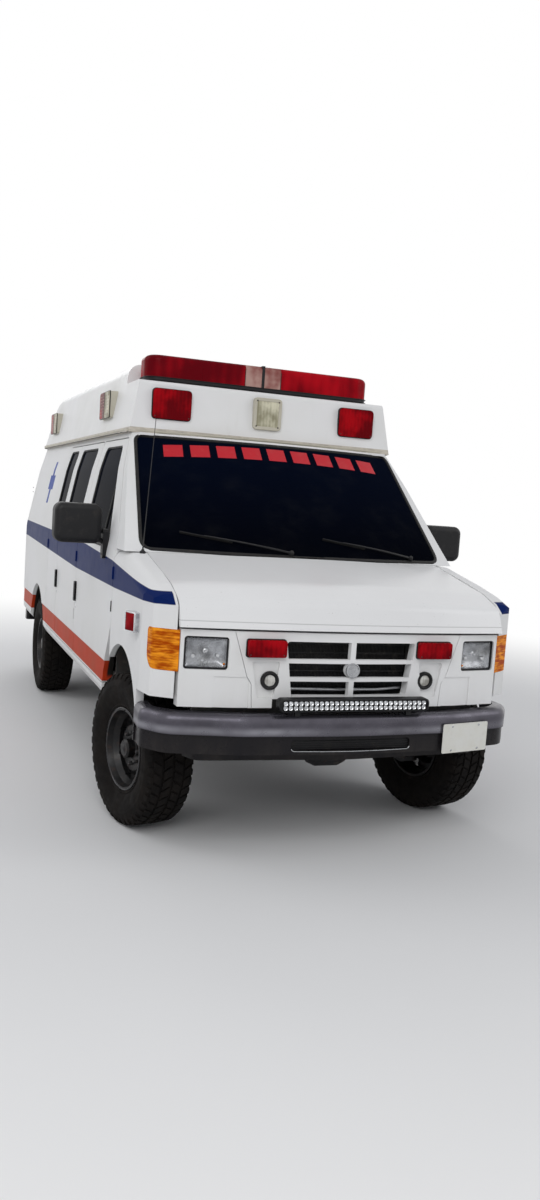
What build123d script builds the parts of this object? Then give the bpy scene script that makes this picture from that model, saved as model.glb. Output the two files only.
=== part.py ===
from build123d import *
import os
from math import cos, radians, sin

# A van ambulance with a raised roof, in millimetres.
# +X is the vehicle's left side, the nose points to -Y, and the floor it stands on is Z = 0.
# Stations along the vehicle are measured back from the front axle; the finished pieces are
# moved by one shift so that the origin lies under the middle of the whole vehicle.

# Running gear
WHEELBASE = 3505.0
TYRE_RADIUS = 403.0
TYRE_WIDTH = 265.0
FRONT_TYRE_MID = 881.0
REAR_TYRE_MID = 853.0
RIM_RADIUS = 217.0
RIM_WIDTH = 206.0
HUB_RADIUS = 74.0
SPINDLE_RADIUS = 24.0
KINGPIN_IN = 111.0
KINGPIN_X = FRONT_TYRE_MID - KINGPIN_IN
KINGPIN_RADIUS = 14.0
STEER_AT_REST = 12.0
TIE_ARM = 158.0
RUNNING_GAP = 0.4

# Body
BODY_HALF = 1007.0
WALL = 56.0
GAP = 7.0
ROCKER_Z = 574.0
SILL_TOP = 652.0
CREASE_Z = 793.0
BELT_Z = 1395.0
GUTTER_Z = 2112.0
REAR_SEAM = WHEELBASE + 919.0
REAR_FACE = REAR_SEAM + 121.0
DOOR_FRONT = 300.0
DOOR_REAR = 1545.0
CARGO_REAR = WHEELBASE - 560.0
CARGO_SPLIT = CARGO_REAR - 515.0
CARGO_HINGE = DOOR_REAR + 8.0
SEAL_GAP = 0.3
DOOR_TOP = 2078.0
FRONT_ARCH_Y = 5.0
FRONT_ARCH_Z = 520.0
ARCH_RADIUS = 430.0
REAR_ARCH_Z = 482.0
FLOOR_Z = 722.0
FLOOR_THICK = 28.0
CAB_SEAM = 900.0
SILL_FRONT = 490.0
SILL_REAR = CARGO_REAR + 65.0
RAIL_DEPTH = 44.0
# Planes well inside and outside the body's side, between which its openings are cut
INSIDE = BODY_HALF - 307.0
OUTSIDE = BODY_HALF + 93.0

# Front wheel wells
APRON_X = FRONT_TYRE_MID - 291.0
WELL_TOP = 960.0
WELL_REAR = 400.0

# Opening for the engine in the cab's front wall, under the cover between the seats
TUNNEL_HALF = 322.0
TUNNEL_TOP = 1118.0
COVER_WALL = 28.0
COVER_REAR = 590.0

# Nose
HOOD_HALF = BODY_HALF - 127.0
HOOD_THICK = 26.0
HOOD_EDGE_Z = 1146.0
FASCIA_TOP = 1134.0
FASCIA_BOTTOM = 764.0
FASCIA_DEPTH = 58.0
FASCIA_HALF = BODY_HALF - 140.0
SUPPORT_Y = -600.0
LAMP_OUT = FASCIA_HALF - 18.0
LAMP_IN = LAMP_OUT - 212.0
LAMP_LOW = 945.0
LAMP_HIGH = 1103.0
LAMP_GAP = 1.0
BUMPER_FRONT = -806.0
REAR_BUMPER_END = REAR_FACE + 155.0

# Raised roof
ROOF_WALL = 28.0
ROOF_SEAT = GUTTER_Z + 0.3
ROOF_BASE_HALF = BODY_HALF - 145.0
ROOF_TOP_HALF = ROOF_BASE_HALF - 76.0
CAP_HIGH = 488.0
ROOF_TOP = GUTTER_Z + CAP_HIGH
ROOF_FRONT = 785.0
SHELF_Z = ROOF_TOP - 170.0
SHELF_REAR = 1165.0
LIP_TOP = GUTTER_Z + 26.0

# The origin is under the middle of the vehicle's length.
MID_STATION = (BUMPER_FRONT + REAR_BUMPER_END) / 2

pieces = {}


def add(node, *solids):
    """File solids under one node name."""
    pieces.setdefault(node, []).extend(solids)


def block(x0, x1, y0, y1, z0, z1):
    """Straight block between two corners."""
    return Pos((x0 + x1) / 2, (y0 + y1) / 2, (z0 + z1) / 2) * Box(x1 - x0, y1 - y0, z1 - z0)


def shape(points, radius=0.0):
    """Closed outline; radius is one corner radius or a list with one for each point."""
    if isinstance(radius, (int, float)) and radius == 0:
        return make_face(Polyline(*points, close=True))
    return make_face(FilletPolyline(*points, radius=radius, close=True))


def along_x(outline, x0, x1):
    """Draw a (station, height) outline out across the vehicle."""
    return extrude(Plane.YZ.offset(x0) * outline, x1 - x0, dir=(1, 0, 0))


def along_y(outline, y0, y1):
    """Draw an (across, height) outline out along the vehicle."""
    return extrude(Plane.XZ.offset(-y0) * outline, y1 - y0, dir=(0, 1, 0))


def along_z(outline, z0, z1):
    """Draw a plan outline upwards."""
    return extrude(Plane.XY.offset(z0) * outline, z1 - z0, dir=(0, 0, 1))


def rod(start, end, radius):
    """Round bar between two points."""
    line = Vector(end) - Vector(start)
    return extrude(Plane(origin=start, z_dir=line) * Circle(radius), line.length)


def other_side(solid):
    """The same piece on the vehicle's right side."""
    return mirror(solid, about=Plane.YZ)


def on_side(solid, side):
    """The piece itself on the left side, its mirror image on the right."""
    return solid if side > 0 else other_side(solid)


# Hinge lines of the doors, just outside the skin, in the middle of the gap
HINGE_OUT = 3.0
HINGE_RADIUS = 4.2
HINGE_HIGH = 70.0
# Thin flange at the doors' free edges, and how far the inner part is set back behind it
FLANGE = 10.0
DOOR_SETBACK = 14.0
LEAF_SETBACK = 21.0
LEAF_GAP = 9.0

# Side of the body

# Outer side from the rocker to the gutter: half width, height, corner radius
SIDE_LINE = [
    (BODY_HALF - 35, ROCKER_Z, 0),
    (BODY_HALF - 5, ROCKER_Z + 48, 20),
    (BODY_HALF - 5, CREASE_Z - 10, 0),
    (BODY_HALF, CREASE_Z, 0),
    (BODY_HALF, BELT_Z, 420),
    (BODY_HALF - 100, 1893, 400),
    (BODY_HALF - 164, GUTTER_Z, 0),
]


def side_section(depth, shift=0.0):
    """Closed section of the side wall, shifted inwards and as deep as asked."""
    outer = [(x - shift, z) for x, z, _ in SIDE_LINE]
    inner = [(x - depth, z) for x, z in reversed(outer)]
    radii = [r for _, _, r in SIDE_LINE]
    return shape(outer + inner, radii + radii[::-1])


def body_section(shift=0.0):
    """Everything inside the body's outer side, as one closed section across the vehicle."""
    left = [(x - shift, z) for x, z, _ in SIDE_LINE]
    right = [(-x, z) for x, z in reversed(left)]
    radii = [r for _, _, r in SIDE_LINE]
    return shape(left + right, radii + radii[::-1])


# Doors in the side: (station, height) corners with their radii
FRONT_DOOR = [
    (DOOR_FRONT, 1440, 60),
    (344, 1519, 60),
    (800, DOOR_TOP, 40),
    (DOOR_REAR, DOOR_TOP, 40),
    (DOOR_REAR, SILL_TOP, 40),
    (478, SILL_TOP, 30),
    (470, 720, 60),
    (DOOR_FRONT, 1010, 120),
]
CARGO_FRONT = [
    (DOOR_REAR, DOOR_TOP, 40),
    (CARGO_SPLIT, DOOR_TOP, 20),
    (CARGO_SPLIT, SILL_TOP, 20),
    (DOOR_REAR, SILL_TOP, 40),
]
CARGO_BACK = [
    (CARGO_SPLIT, DOOR_TOP, 20),
    (CARGO_REAR, DOOR_TOP, 40),
    (CARGO_REAR, SILL_TOP, 40),
    (CARGO_SPLIT, SILL_TOP, 20),
]
FRONT_WINDOW = [(512, 1425, 40), (892, 2034, 60), (DOOR_REAR - 137, 2034, 60), (DOOR_REAR - 137, 1425, 60)]


def cargo_window(y0, y1):
    """Window of a cargo door between two stations, in the same kind of table."""
    return [(y0, 1440, 50), (y0, 2040, 50), (y1, 2040, 50), (y1, 1440, 50)]


CARGO_WINDOW_FRONT = cargo_window(DOOR_REAR + 145, CARGO_SPLIT - 105)
CARGO_WINDOW_BACK = cargo_window(CARGO_SPLIT + 56, CARGO_REAR - 95)


def corners(table, grow=0.0):
    """Outline from a table of station, height and radius; grow moves the sides outwards."""
    outline = shape([(y, z) for y, z, _ in table], [r for _, _, r in table])
    if grow == 0:
        return outline
    return offset(outline, amount=grow, kind=Kind.INTERSECTION)


wall = along_y(side_section(WALL), DOOR_FRONT - 4, REAR_SEAM - GAP)


def arch(y, z, radius, x0, x1):
    """Wheel arch opening, round above and straight below."""
    outline = Pos(y, z) * Circle(radius)
    outline += Pos(y, z / 2) * Rectangle(2 * radius, z)
    return along_x(outline, x0, x1)


def door_panel(table, window, handle_y):
    """Full-thickness door with its window cut and its upright pull handle."""
    panel = wall & along_x(corners(table, -GAP / 2), INSIDE, OUTSIDE)
    panel -= along_x(corners(window), INSIDE, OUTSIDE)
    pull = along_x(Pos(handle_y, 1076) * RectangleRounded(34, 132, 12), BODY_HALF - 3, BODY_HALF + 16)
    return panel + pull


def hinge_barrel(x, y, low, towards):
    """Small exposed barrel on the hinge line, with the web that joins it to its door."""
    barrel = Pos(x, y, low + HINGE_HIGH / 2) * Cylinder(HINGE_RADIUS, HINGE_HIGH)
    web = block(x - 8, x - 1, min(y, y + towards), max(y, y + towards), low, low + HINGE_HIGH)
    return barrel + web


def door_glass(window):
    """Dark pane, let into the door a little below its outer side."""
    pane = along_y(side_section(8.0, 12.0), DOOR_FRONT, REAR_SEAM)
    return pane & along_x(corners(window, -0.4), INSIDE, OUTSIDE)


# Mirror on the door: head across, along and up, with two arms
MIRROR_IN = BODY_HALF + 33.0
MIRROR_OUT = 1309.0
MIRROR_Y = 556.0
MIRROR_Z = 1562.0


def mirror_assembly():
    """Large rounded mirror head on two arms from the door."""
    head = Pos((MIRROR_IN + MIRROR_OUT) / 2, MIRROR_Y, MIRROR_Z) * Box(MIRROR_OUT - MIRROR_IN, 110, 226)
    head = fillet(head.edges().filter_by(Axis.Y), 48)
    head = fillet(head.faces().sort_by(Axis.Y)[0].edges(), 34)
    glass = Box(MIRROR_OUT - MIRROR_IN - 36, 8, 190)
    head -= Pos((MIRROR_IN + MIRROR_OUT) / 2, MIRROR_Y + 53, MIRROR_Z) * glass
    for z in (1560, 1500):
        head += rod((BODY_HALF - 9, 575, z - 60), (MIRROR_IN + 40, MIRROR_Y + 4, z), 13)
    base = along_x(Pos(575, 1450) * RectangleRounded(64, 170, 20), BODY_HALF - 11, BODY_HALF + 20)
    return head + base - wall


for side in (1, -1):
    name = "left" if side > 0 else "right"
    door = door_panel(FRONT_DOOR, FRONT_WINDOW, DOOR_REAR - 51)
    door -= along_y(side_section(WALL, FLANGE), DOOR_REAR - DOOR_SETBACK, DOOR_REAR)
    for low in (1090, 1270):
        door += hinge_barrel(BODY_HALF + HINGE_OUT, DOOR_FRONT, low, 12)
    add(f"front_door_{name}", on_side(door, side))
    add(f"front_door_glass_{name}", on_side(door_glass(FRONT_WINDOW), side))
    add(f"mirror_{name}", on_side(mirror_assembly(), side))

cargo_door = door_panel(CARGO_FRONT, CARGO_WINDOW_FRONT, CARGO_SPLIT - 44)
for low in (880, 1270):
    cargo_door += hinge_barrel(BODY_HALF + HINGE_OUT, CARGO_HINGE, low, 12)
# The tops of the leaves lean in from the upright hinge lines, so their meeting edges are thin
# flanges with the rest set back, and either leaf swings past the other.
leaf_relief = along_y(side_section(WALL, FLANGE), CARGO_SPLIT - LEAF_SETBACK, CARGO_SPLIT + LEAF_SETBACK)
leaf_relief += along_y(side_section(WALL + 2, -2), CARGO_SPLIT - LEAF_GAP / 2, CARGO_SPLIT + LEAF_GAP / 2)
cargo_door -= leaf_relief
add("cargo_door_front", other_side(cargo_door))
add("cargo_door_front_glass", other_side(door_glass(CARGO_WINDOW_FRONT)))
rear_leaf = wall & along_x(corners(CARGO_BACK, -GAP / 2), INSIDE, OUTSIDE)
rear_leaf -= along_x(corners(CARGO_WINDOW_BACK), INSIDE, OUTSIDE)
rear_leaf -= leaf_relief
for low in (880, 1270):
    rear_leaf += hinge_barrel(BODY_HALF + HINGE_OUT, CARGO_REAR, low, -12)
add("cargo_door_rear", other_side(rear_leaf))
add("cargo_door_rear_glass", other_side(door_glass(CARGO_WINDOW_BACK)))


def body_side(has_cargo_doors):
    """Side wall behind the cab, with the sill and rail round the doors and inner posts."""
    side = wall - along_x(corners(FRONT_DOOR, GAP / 2), INSIDE, OUTSIDE)
    side -= arch(WHEELBASE, REAR_ARCH_Z, ARCH_RADIUS + 10, INSIDE, OUTSIDE)
    side -= block(INSIDE, OUTSIDE, 0, SILL_FRONT, 500, 1200)
    side -= block(INSIDE, OUTSIDE, 0, CAB_SEAM, 1000, GUTTER_Z + 90)
    top = block(INSIDE, OUTSIDE, 0, REAR_SEAM, DOOR_TOP + GAP, GUTTER_Z)
    bottom = block(INSIDE, OUTSIDE, 0, REAR_SEAM, ROCKER_Z, SILL_TOP - GAP)
    behind_sill = block(INSIDE, OUTSIDE, 0, REAR_SEAM, ROCKER_Z + 50, FLOOR_Z - FLOOR_THICK)
    upright = block(INSIDE, OUTSIDE, 0, REAR_SEAM, ROCKER_Z + 50, GUTTER_Z)
    rail_end = CARGO_REAR + 60 if has_cargo_doors else DOOR_REAR + 50
    side += along_y(side_section(WALL + RAIL_DEPTH), CAB_SEAM, rail_end) & top
    side += along_y(side_section(WALL + RAIL_DEPTH), SILL_FRONT, SILL_REAR) & bottom
    side += along_y(side_section(RAIL_DEPTH - 6, WALL + 6), SILL_FRONT, SILL_REAR) & behind_sill
    if has_cargo_doors:
        side -= along_x(corners(CARGO_FRONT, GAP / 2), BODY_HALF - WALL - 5, OUTSIDE)
        opening = along_x(corners(CARGO_FRONT, GAP / 2), INSIDE, OUTSIDE)
        opening += along_x(corners(CARGO_BACK, GAP / 2), INSIDE, OUTSIDE)
        side -= opening & wall
        back = along_y(side_section(RAIL_DEPTH - 6, WALL + 6), CARGO_REAR - 30, CARGO_REAR + 60) & upright
        bridge = along_y(side_section(WALL + 10), CARGO_REAR + 20, CARGO_REAR + 60) & upright
        side += back + (bridge & block(INSIDE, OUTSIDE, 0, REAR_SEAM, SILL_TOP, DOOR_TOP))
    post = along_y(side_section(RAIL_DEPTH - 6, WALL + 6), DOOR_REAR - 50, DOOR_REAR + 50) & upright
    # Rubber stops on the post, which the closed doors rest on
    for y in (DOOR_REAR - 30, DOOR_REAR + 30):
        stops = along_y(side_section(8, WALL + SEAL_GAP), y - 10, y + 10)
        post += stops & block(INSIDE, OUTSIDE, 0, REAR_SEAM, 1000, 1060)
    side += post
    if not has_cargo_doors:
        # The quarter panel round the rear wheel is a pressing of its own
        side -= block(INSIDE, OUTSIDE, SILL_REAR, SILL_REAR + 2 * SEAL_GAP, 0, GUTTER_Z + 90)
    return side


add("body_side_left", body_side(False))
add("body_side_right", other_side(body_side(True)))

# Rear doors: two flat leaves between the corner posts
REAR_DOOR_LOW = 606.0
REAR_DOOR_THICK = 60.0
# Half width and height of the rear opening
REAR_DOOR_HALF = BODY_HALF - 105.0
REAR_DOOR_TOP = GUTTER_Z - 50.0
REAR_OPENING = [
    (0, REAR_DOOR_LOW),
    (REAR_DOOR_HALF, REAR_DOOR_LOW),
    (REAR_DOOR_HALF, BELT_Z),
    (REAR_DOOR_HALF - 150, REAR_DOOR_TOP),
    (0, REAR_DOOR_TOP),
]
REAR_WINDOW = [(150, 1440), (150, 1990), (REAR_DOOR_HALF - 202, 1990), (REAR_DOOR_HALF - 112, 1440)]
for side in (1, -1):
    name = "left" if side > 0 else "right"
    outline = offset(shape(REAR_OPENING), amount=-GAP / 2, kind=Kind.INTERSECTION)
    leaf = along_y(outline, REAR_FACE - REAR_DOOR_THICK, REAR_FACE)
    leaf -= along_y(shape(REAR_WINDOW, 60), REAR_SEAM, REAR_FACE + 100)
    for low in (760, 1250):
        barrel = Cylinder(HINGE_RADIUS, HINGE_HIGH)
        barrel = Pos(REAR_DOOR_HALF, REAR_FACE + HINGE_OUT, low + HINGE_HIGH / 2) * barrel
        web = block(REAR_DOOR_HALF - 12, REAR_DOOR_HALF, REAR_FACE - 5, REAR_FACE + 2, low, low + HINGE_HIGH)
        leaf += barrel + web
    if side < 0:
        leaf += block(50, 84, REAR_FACE - 2, REAR_FACE + 16, 1010, 1142)
    add(f"rear_door_{name}", on_side(leaf, side))
    pane = along_y(offset(shape(REAR_WINDOW, 60), amount=-0.4), REAR_FACE - 20, REAR_FACE - 10)
    add(f"rear_door_glass_{name}", on_side(pane, side))

# Frame of the rear opening: corner posts, header and sill, with a lip behind the doors
rear_ring = along_y(body_section(), REAR_SEAM, REAR_FACE)
rear_ring &= block(-OUTSIDE, OUTSIDE, REAR_SEAM, REAR_FACE, ROCKER_Z + 20, GUTTER_Z)
rear_lip = along_y(body_section(WALL), REAR_SEAM - 60, REAR_SEAM + 10)
rear_ring += rear_lip & block(-OUTSIDE, OUTSIDE, REAR_SEAM - 60, REAR_FACE, FLOOR_Z - FLOOR_THICK, GUTTER_Z)
rear_edges = rear_ring.faces().sort_by(Axis.Y)[-1].edges()
corner_edges = rear_edges.filter_by(lambda e: abs(e.center().X) > ROOF_BASE_HALF - 62)
rear_ring = fillet(corner_edges, 60)
opening = offset(shape(REAR_OPENING), amount=GAP / 2, kind=Kind.INTERSECTION)
opening += mirror(opening, about=Plane.YZ)
rear_ring -= along_y(opening, REAR_FACE - REAR_DOOR_THICK - GAP, REAR_FACE + 10)
LIP_IN = 32.0
lip_half = REAR_DOOR_HALF - LIP_IN
lip_top = REAR_DOOR_TOP - LIP_IN
lip_line = [(0, FLOOR_Z), (lip_half, FLOOR_Z), (lip_half, BELT_Z), (lip_half - 148, lip_top), (0, lip_top)]
lip_in = shape(lip_line)
rear_ring -= along_y(lip_in + mirror(lip_in, about=Plane.YZ), REAR_SEAM - 100, REAR_FACE + 10)
TAIL_LAMP = Pos(BODY_HALF - 54, 930) * Rectangle(66, 260)
TAIL_GAP = 0.4
tail_lamp = along_y(TAIL_LAMP, REAR_FACE - 4, REAR_FACE + 12)
pocket_outline = offset(TAIL_LAMP, amount=TAIL_GAP, kind=Kind.INTERSECTION)
tail_pocket = along_y(pocket_outline, REAR_FACE - 4 - TAIL_GAP, REAR_FACE + 20)
rear_ring -= tail_pocket
rear_ring -= other_side(tail_pocket)
add("rear_frame", rear_ring)
add("tail_lamps", tail_lamp, other_side(tail_lamp))

# Nose of the body
# Plan of the front corner: across, station, radius
NOSE_PLAN = [
    (BODY_HALF, 400, 0),
    (BODY_HALF, -440, 60),
    (BODY_HALF - 23, -575, 30),
    (BODY_HALF - 141, -655, 30),
    (600, -700, 300),
    (0, -726, 0),
]


def nose_plan(inset=0.0, forward=0.0):
    """Plan of the nose, both halves, with its sides moved in and its front moved forward."""
    half = [(x - (inset if x > FASCIA_HALF else 0), y - forward) for x, y, _ in NOSE_PLAN]
    half[0] = (half[0][0], NOSE_PLAN[0][1])
    other = [(-x, y) for x, y in reversed(half[:-1])]
    radii = [r for _, _, r in NOSE_PLAN]
    radii[-1] = 3000
    radii = radii + radii[:-1][::-1]
    return shape(half + other, radii)


# Hood's side seam along the vehicle: station, height
SEAM_LINE = [
    (340, 1441),
    (60, 1440),
    (-300, 1370),
    (-470, 1330),
    (-580, 1290),
    (-640, 1245),
    (-674, 1190),
    (-690, 1090),
]
SHOULDER_RADIUS = 74.0


def fender_slice(y, z):
    """Closed section of the solid fender at one station, with its rounded shoulder."""
    points = [(INSIDE, 560), (BODY_HALF, 560), (BODY_HALF, z - 8), (HOOD_HALF, z), (INSIDE, z)]
    return Plane.XZ.offset(-y) * shape(points, [0, 0, SHOULDER_RADIUS, 0, 0])


def fender_volume():
    """Solid nose corner under the fender's outer side."""
    outer = loft([fender_slice(y, z) for y, z in SEAM_LINE], ruled=True)
    return outer & along_z(nose_plan(), 560, 1500)


def front_fender():
    """Fender from the hood seam to the rocker, open inside, with its wheel arch."""
    outer = fender_volume()
    low = [(y, z - 40) for y, z in SEAM_LINE[1:5]]
    inner_line = [(700, low[0][1])] + low + [(-650, 1060), (-650, 500), (700, 500)]
    inner = along_x(shape(inner_line), 500, BODY_HALF - 40)
    plan = nose_plan(40.0, -44.0)
    inner &= along_z(plan, 500, 1500)
    panel = outer - inner
    panel &= block(HOOD_HALF + 3, OUTSIDE, -900, 700, ROCKER_Z + 46, 1500)
    panel -= along_x(corners(FRONT_DOOR, GAP / 2), INSIDE, OUTSIDE)
    panel -= block(INSIDE, OUTSIDE, DOOR_FRONT, 900, 400, 1430)
    behind_arch = shape([(DOOR_FRONT - 4, 1000), (DOOR_FRONT - 4, 500), (700, 500)])
    panel -= along_x(behind_arch, INSIDE, OUTSIDE)
    panel -= arch(FRONT_ARCH_Y, FRONT_ARCH_Z, ARCH_RADIUS, INSIDE, OUTSIDE)
    panel -= block(INSIDE, OUTSIDE, -900, -400, 400, 800)
    panel -= corner_lamp_body(0.6)
    return panel


def corner_lamp_body(grow=0.0):
    """Block of the amber lamp that wraps round the front corner."""
    lamp = along_z(nose_plan(), 930 - grow, 1128 + grow)
    lamp -= along_z(nose_plan(34.0 + grow, -(34.0 + grow)), 900, 1200)
    side = shape(
        [(-900, 930 - grow), (-520 + grow, 930 - grow), (-520 + grow, 1128 + grow), (-900, 1128 + grow)],
        [0, 80, 24, 0],
    )
    return lamp & along_x(side, FASCIA_HALF + 3 - grow, OUTSIDE)


add("front_fenders", front_fender(), other_side(front_fender()))
corner_lamp = corner_lamp_body()
add("corner_lamps", corner_lamp, other_side(corner_lamp))


# Hood: three sections across the vehicle, joined smoothly
# Across, then station and height of: rear edge, break, nose top, front edge
HOOD_SECTIONS = [
    (-HOOD_HALF + 2, 50, 1438, -470, 1330, -636, 1262, -684, HOOD_EDGE_Z),
    (0, -72, 1455, -520, 1349, -690, 1278, -740, HOOD_EDGE_Z),
    (HOOD_HALF - 2, 50, 1438, -470, 1330, -636, 1262, -684, HOOD_EDGE_Z),
]


def hood_section(x, ya, za, yb, zb, yc, zc, yd, zd):
    """Thin closed section of the hood in a plane along the vehicle."""
    t = HOOD_THICK
    top = [(ya, za), (yb, zb), (yc, zc), (yd, zd)]
    under = [(yd + t, zd), (yc + t, zc - t * 0.55), (yb, zb - t), (ya, za - t)]
    return Plane.YZ.offset(x) * shape(top + under, [0, 500, 70, 0, 0, 45, 480, 0])


hood = loft([hood_section(*row) for row in HOOD_SECTIONS])
add("hood", hood)

# Windscreen: three sections across, from the cowl to the roof
# Across, lower station and height, upper station and height
SCREEN_SECTIONS = [
    (-BODY_HALF - 3, 100, 1440, 862, 2132),
    (0, -62, 1462, 650, 2132),
    (BODY_HALF + 3, 100, 1440, 862, 2132),
]
SCREEN_THICK = 9.0
FRAME_THICK = 46.0


def screen_sheet(front, back):
    """Sheet that follows the windscreen, between two depths behind its outer face."""
    sections = []
    for x, y0, z0, y1, z1 in SCREEN_SECTIONS:
        lean = Vector(0, y1 - y0, z1 - z0).normalized()
        ny, nz = lean.Z, -lean.Y
        points = [
            (y0 + ny * front, z0 + nz * front),
            (y1 + ny * front, z1 + nz * front),
            (y1 + ny * back, z1 + nz * back),
            (y0 + ny * back, z0 + nz * back),
        ]
        sections.append(Plane.YZ.offset(x) * shape(points))
    return loft(sections)


SCREEN_LOW_HALF = BODY_HALF - 91.0
SCREEN_TOP_HALF = BODY_HALF - 173.0
screen_outline = shape(
    [(-SCREEN_LOW_HALF, 1452), (SCREEN_LOW_HALF, 1452), (SCREEN_TOP_HALF, 2098), (-SCREEN_TOP_HALF, 2098)],
    [60, 60, 50, 50],
)
screen_cut = along_y(screen_outline, -400, 1200)
glass_cut = along_y(offset(screen_outline, amount=-1.0), -400, 1200)
add("windscreen", screen_sheet(4, 4 + SCREEN_THICK) & glass_cut)

cab_frame = screen_sheet(0, FRAME_THICK) & along_y(body_section(2.0), -400, 1200)
cab_frame -= screen_cut
pillar = along_y(side_section(WALL, 1.0), 40, CAB_SEAM)
pillar &= along_x(
    shape([(96, 1442), (800, GUTTER_Z), (CAB_SEAM, GUTTER_Z), (CAB_SEAM, 1900), (380, 1442)]), INSIDE, OUTSIDE
)
cab_frame += pillar + other_side(pillar)
door_gap = along_x(corners(FRONT_DOOR, GAP / 2), INSIDE, OUTSIDE)
cab_frame -= door_gap
cab_frame -= other_side(door_gap)
# Header beam behind the top of the windscreen
BEAM_HALF = BODY_HALF - 195.0
cab_frame += block(-BEAM_HALF, BEAM_HALF, 720, CAB_SEAM, DOOR_TOP + 5, GUTTER_Z)
cab_frame &= block(-OUTSIDE, OUTSIDE, -400, 1200, 1300, GUTTER_Z)
# Lip under the glass, as across, station and height of its front upper edge
LIP_SECTIONS = [(2 - HOOD_HALF, 62, 1444), (0, -60, 1456), (HOOD_HALF - 2, 62, 1444)]
lip_faces = [
    Plane.YZ.offset(x) * shape([(y, 1372), (y, z), (y + 46, z), (y + 46, 1372)]) for x, y, z in LIP_SECTIONS
]
cowl = loft(lip_faces)
cowl_line = [(-50, 1330), (-50, 1382), (120, 1382), (120, 720), (96, 720), (96, 1330)]
cowl += along_x(shape(cowl_line), 4 - HOOD_HALF, HOOD_HALF - 4)
cowl -= block(-TUNNEL_HALF, TUNNEL_HALF, 0, 200, 0, TUNNEL_TOP)
cowl -= block(APRON_X, OUTSIDE, 0, 200, 0, WELL_TOP)
cowl -= block(-OUTSIDE, -APRON_X, 0, 200, 0, WELL_TOP)
cab_frame += cowl
cab_frame -= screen_sheet(-60, 4 + SCREEN_THICK + 0.5) & screen_cut
edge = block(HOOD_HALF + 2, OUTSIDE, -900, 700, 0, 1442)
cab_frame -= edge
cab_frame -= other_side(edge)
add("cab_frame", cab_frame)

# Fascia between the corner lamps
front_skin = along_z(nose_plan(), FASCIA_BOTTOM, FASCIA_TOP) - along_z(
    nose_plan(0.0, -FASCIA_DEPTH), FASCIA_BOTTOM - 10, FASCIA_TOP + 10
)
front_skin &= block(-FASCIA_HALF, FASCIA_HALF, -900, -400, FASCIA_BOTTOM, FASCIA_TOP)
# Edge between the grille panel and the headlamp bezel, as across and height
BEZEL_EDGE = [(LAMP_IN - back, z) for back, z in ((25, 1200), (25, 1127), (92, 919), (117, 880), (129, 700))]
centre_cut = along_y(shape(BEZEL_EDGE + [(-x, z) for x, z in reversed(BEZEL_EDGE)]), -1000, -300)
inner_cut = along_y(
    shape([(x - 3, z) for x, z in BEZEL_EDGE] + [(3 - x, z) for x, z in reversed(BEZEL_EDGE)]), -1000, -300
)

GRILLE_HALF_TOP = LAMP_IN - 287.0
GRILLE_HALF_LOW = GRILLE_HALF_TOP - 38.0
BAR_SPAN = GRILLE_HALF_TOP - 4.0
BAR_BACK = -690.0
GRILLE_TOP = 1090.0
GRILLE_LOW = 820.0
GRILLE_BARS = (994.0, 905.0)
BAR_HIGH = 20.0
DISC_Z = 952.0
DISC_RADIUS = 37.0
DRIVING_LAMP_X = LAMP_IN - 213.0
DRIVING_LAMP_Z = 897.0
DRIVING_LAMP_RADIUS = 35.4
LED_HALF = LAMP_IN - 234.0
LED_TOP = 826.0
LED_LOW = 762.0

grille_panel = front_skin & inner_cut
grille_panel -= along_y(
    shape(
        [
            (-GRILLE_HALF_LOW, GRILLE_LOW),
            (GRILLE_HALF_LOW, GRILLE_LOW),
            (GRILLE_HALF_TOP, GRILLE_TOP),
            (-GRILLE_HALF_TOP, GRILLE_TOP),
        ],
        14,
    ),
    -900,
    -400,
)
for z in GRILLE_BARS:
    bar_space = block(-BAR_SPAN, BAR_SPAN, -900, BAR_BACK, z - BAR_HIGH / 2, z + BAR_HIGH / 2)
    grille_panel += front_skin & bar_space
grille_panel += front_skin & block(-14, 14, -900, BAR_BACK, GRILLE_LOW - 6, GRILLE_TOP + 6)
grille_panel += Pos(0, -715, DISC_Z) * Rot(90, 0, 0) * Cylinder(DISC_RADIUS, 36)
# Sloping pocket round each driving lamp, as across and height
LAMP_POCKET = [(DRIVING_LAMP_X + x, z) for x, z in ((-46, 990), (96, 990), (62, 812), (-20, 812))]
POCKET_DEPTH = 16.0
pocket = along_y(shape(LAMP_POCKET, 12), -900, -400) & along_z(nose_plan(0.0, 20.0), 700, 1200)
pocket -= along_z(nose_plan(0.0, -POCKET_DEPTH), 600, 1300)
grille_panel -= pocket
grille_panel -= other_side(pocket)
# The space for the light strip in the middle of the lower edge
grille_panel -= block(-LED_HALF - 5, LED_HALF + 5, -900, -400, 600, LED_TOP - 18)
for x in (-DRIVING_LAMP_X, DRIVING_LAMP_X):
    grille_panel -= Pos(x, -700, DRIVING_LAMP_Z) * Rot(90, 0, 0) * Cylinder(DRIVING_LAMP_RADIUS + 0.6, 300)
for x in (157 - LAMP_IN, LAMP_IN - 157):
    grille_panel += block(x - 15, x + 15, -690, SUPPORT_Y - 0.3, 1102, 1126)
add("front_fascia", grille_panel)

bezel = front_skin & block(0, FASCIA_HALF, -900, -400, FASCIA_BOTTOM, FASCIA_TOP)
bezel -= centre_cut
bezel += block(FASCIA_HALF - 132, FASCIA_HALF - 102, -650, SUPPORT_Y - 0.3, 1106, 1126)
LAMP_OUTLINE = Pos((LAMP_IN + LAMP_OUT) / 2, (LAMP_LOW + LAMP_HIGH) / 2) * RectangleRounded(
    LAMP_OUT - LAMP_IN, LAMP_HIGH - LAMP_LOW, 16
)
bezel -= along_y(LAMP_OUTLINE, -1000, -300)
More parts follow.
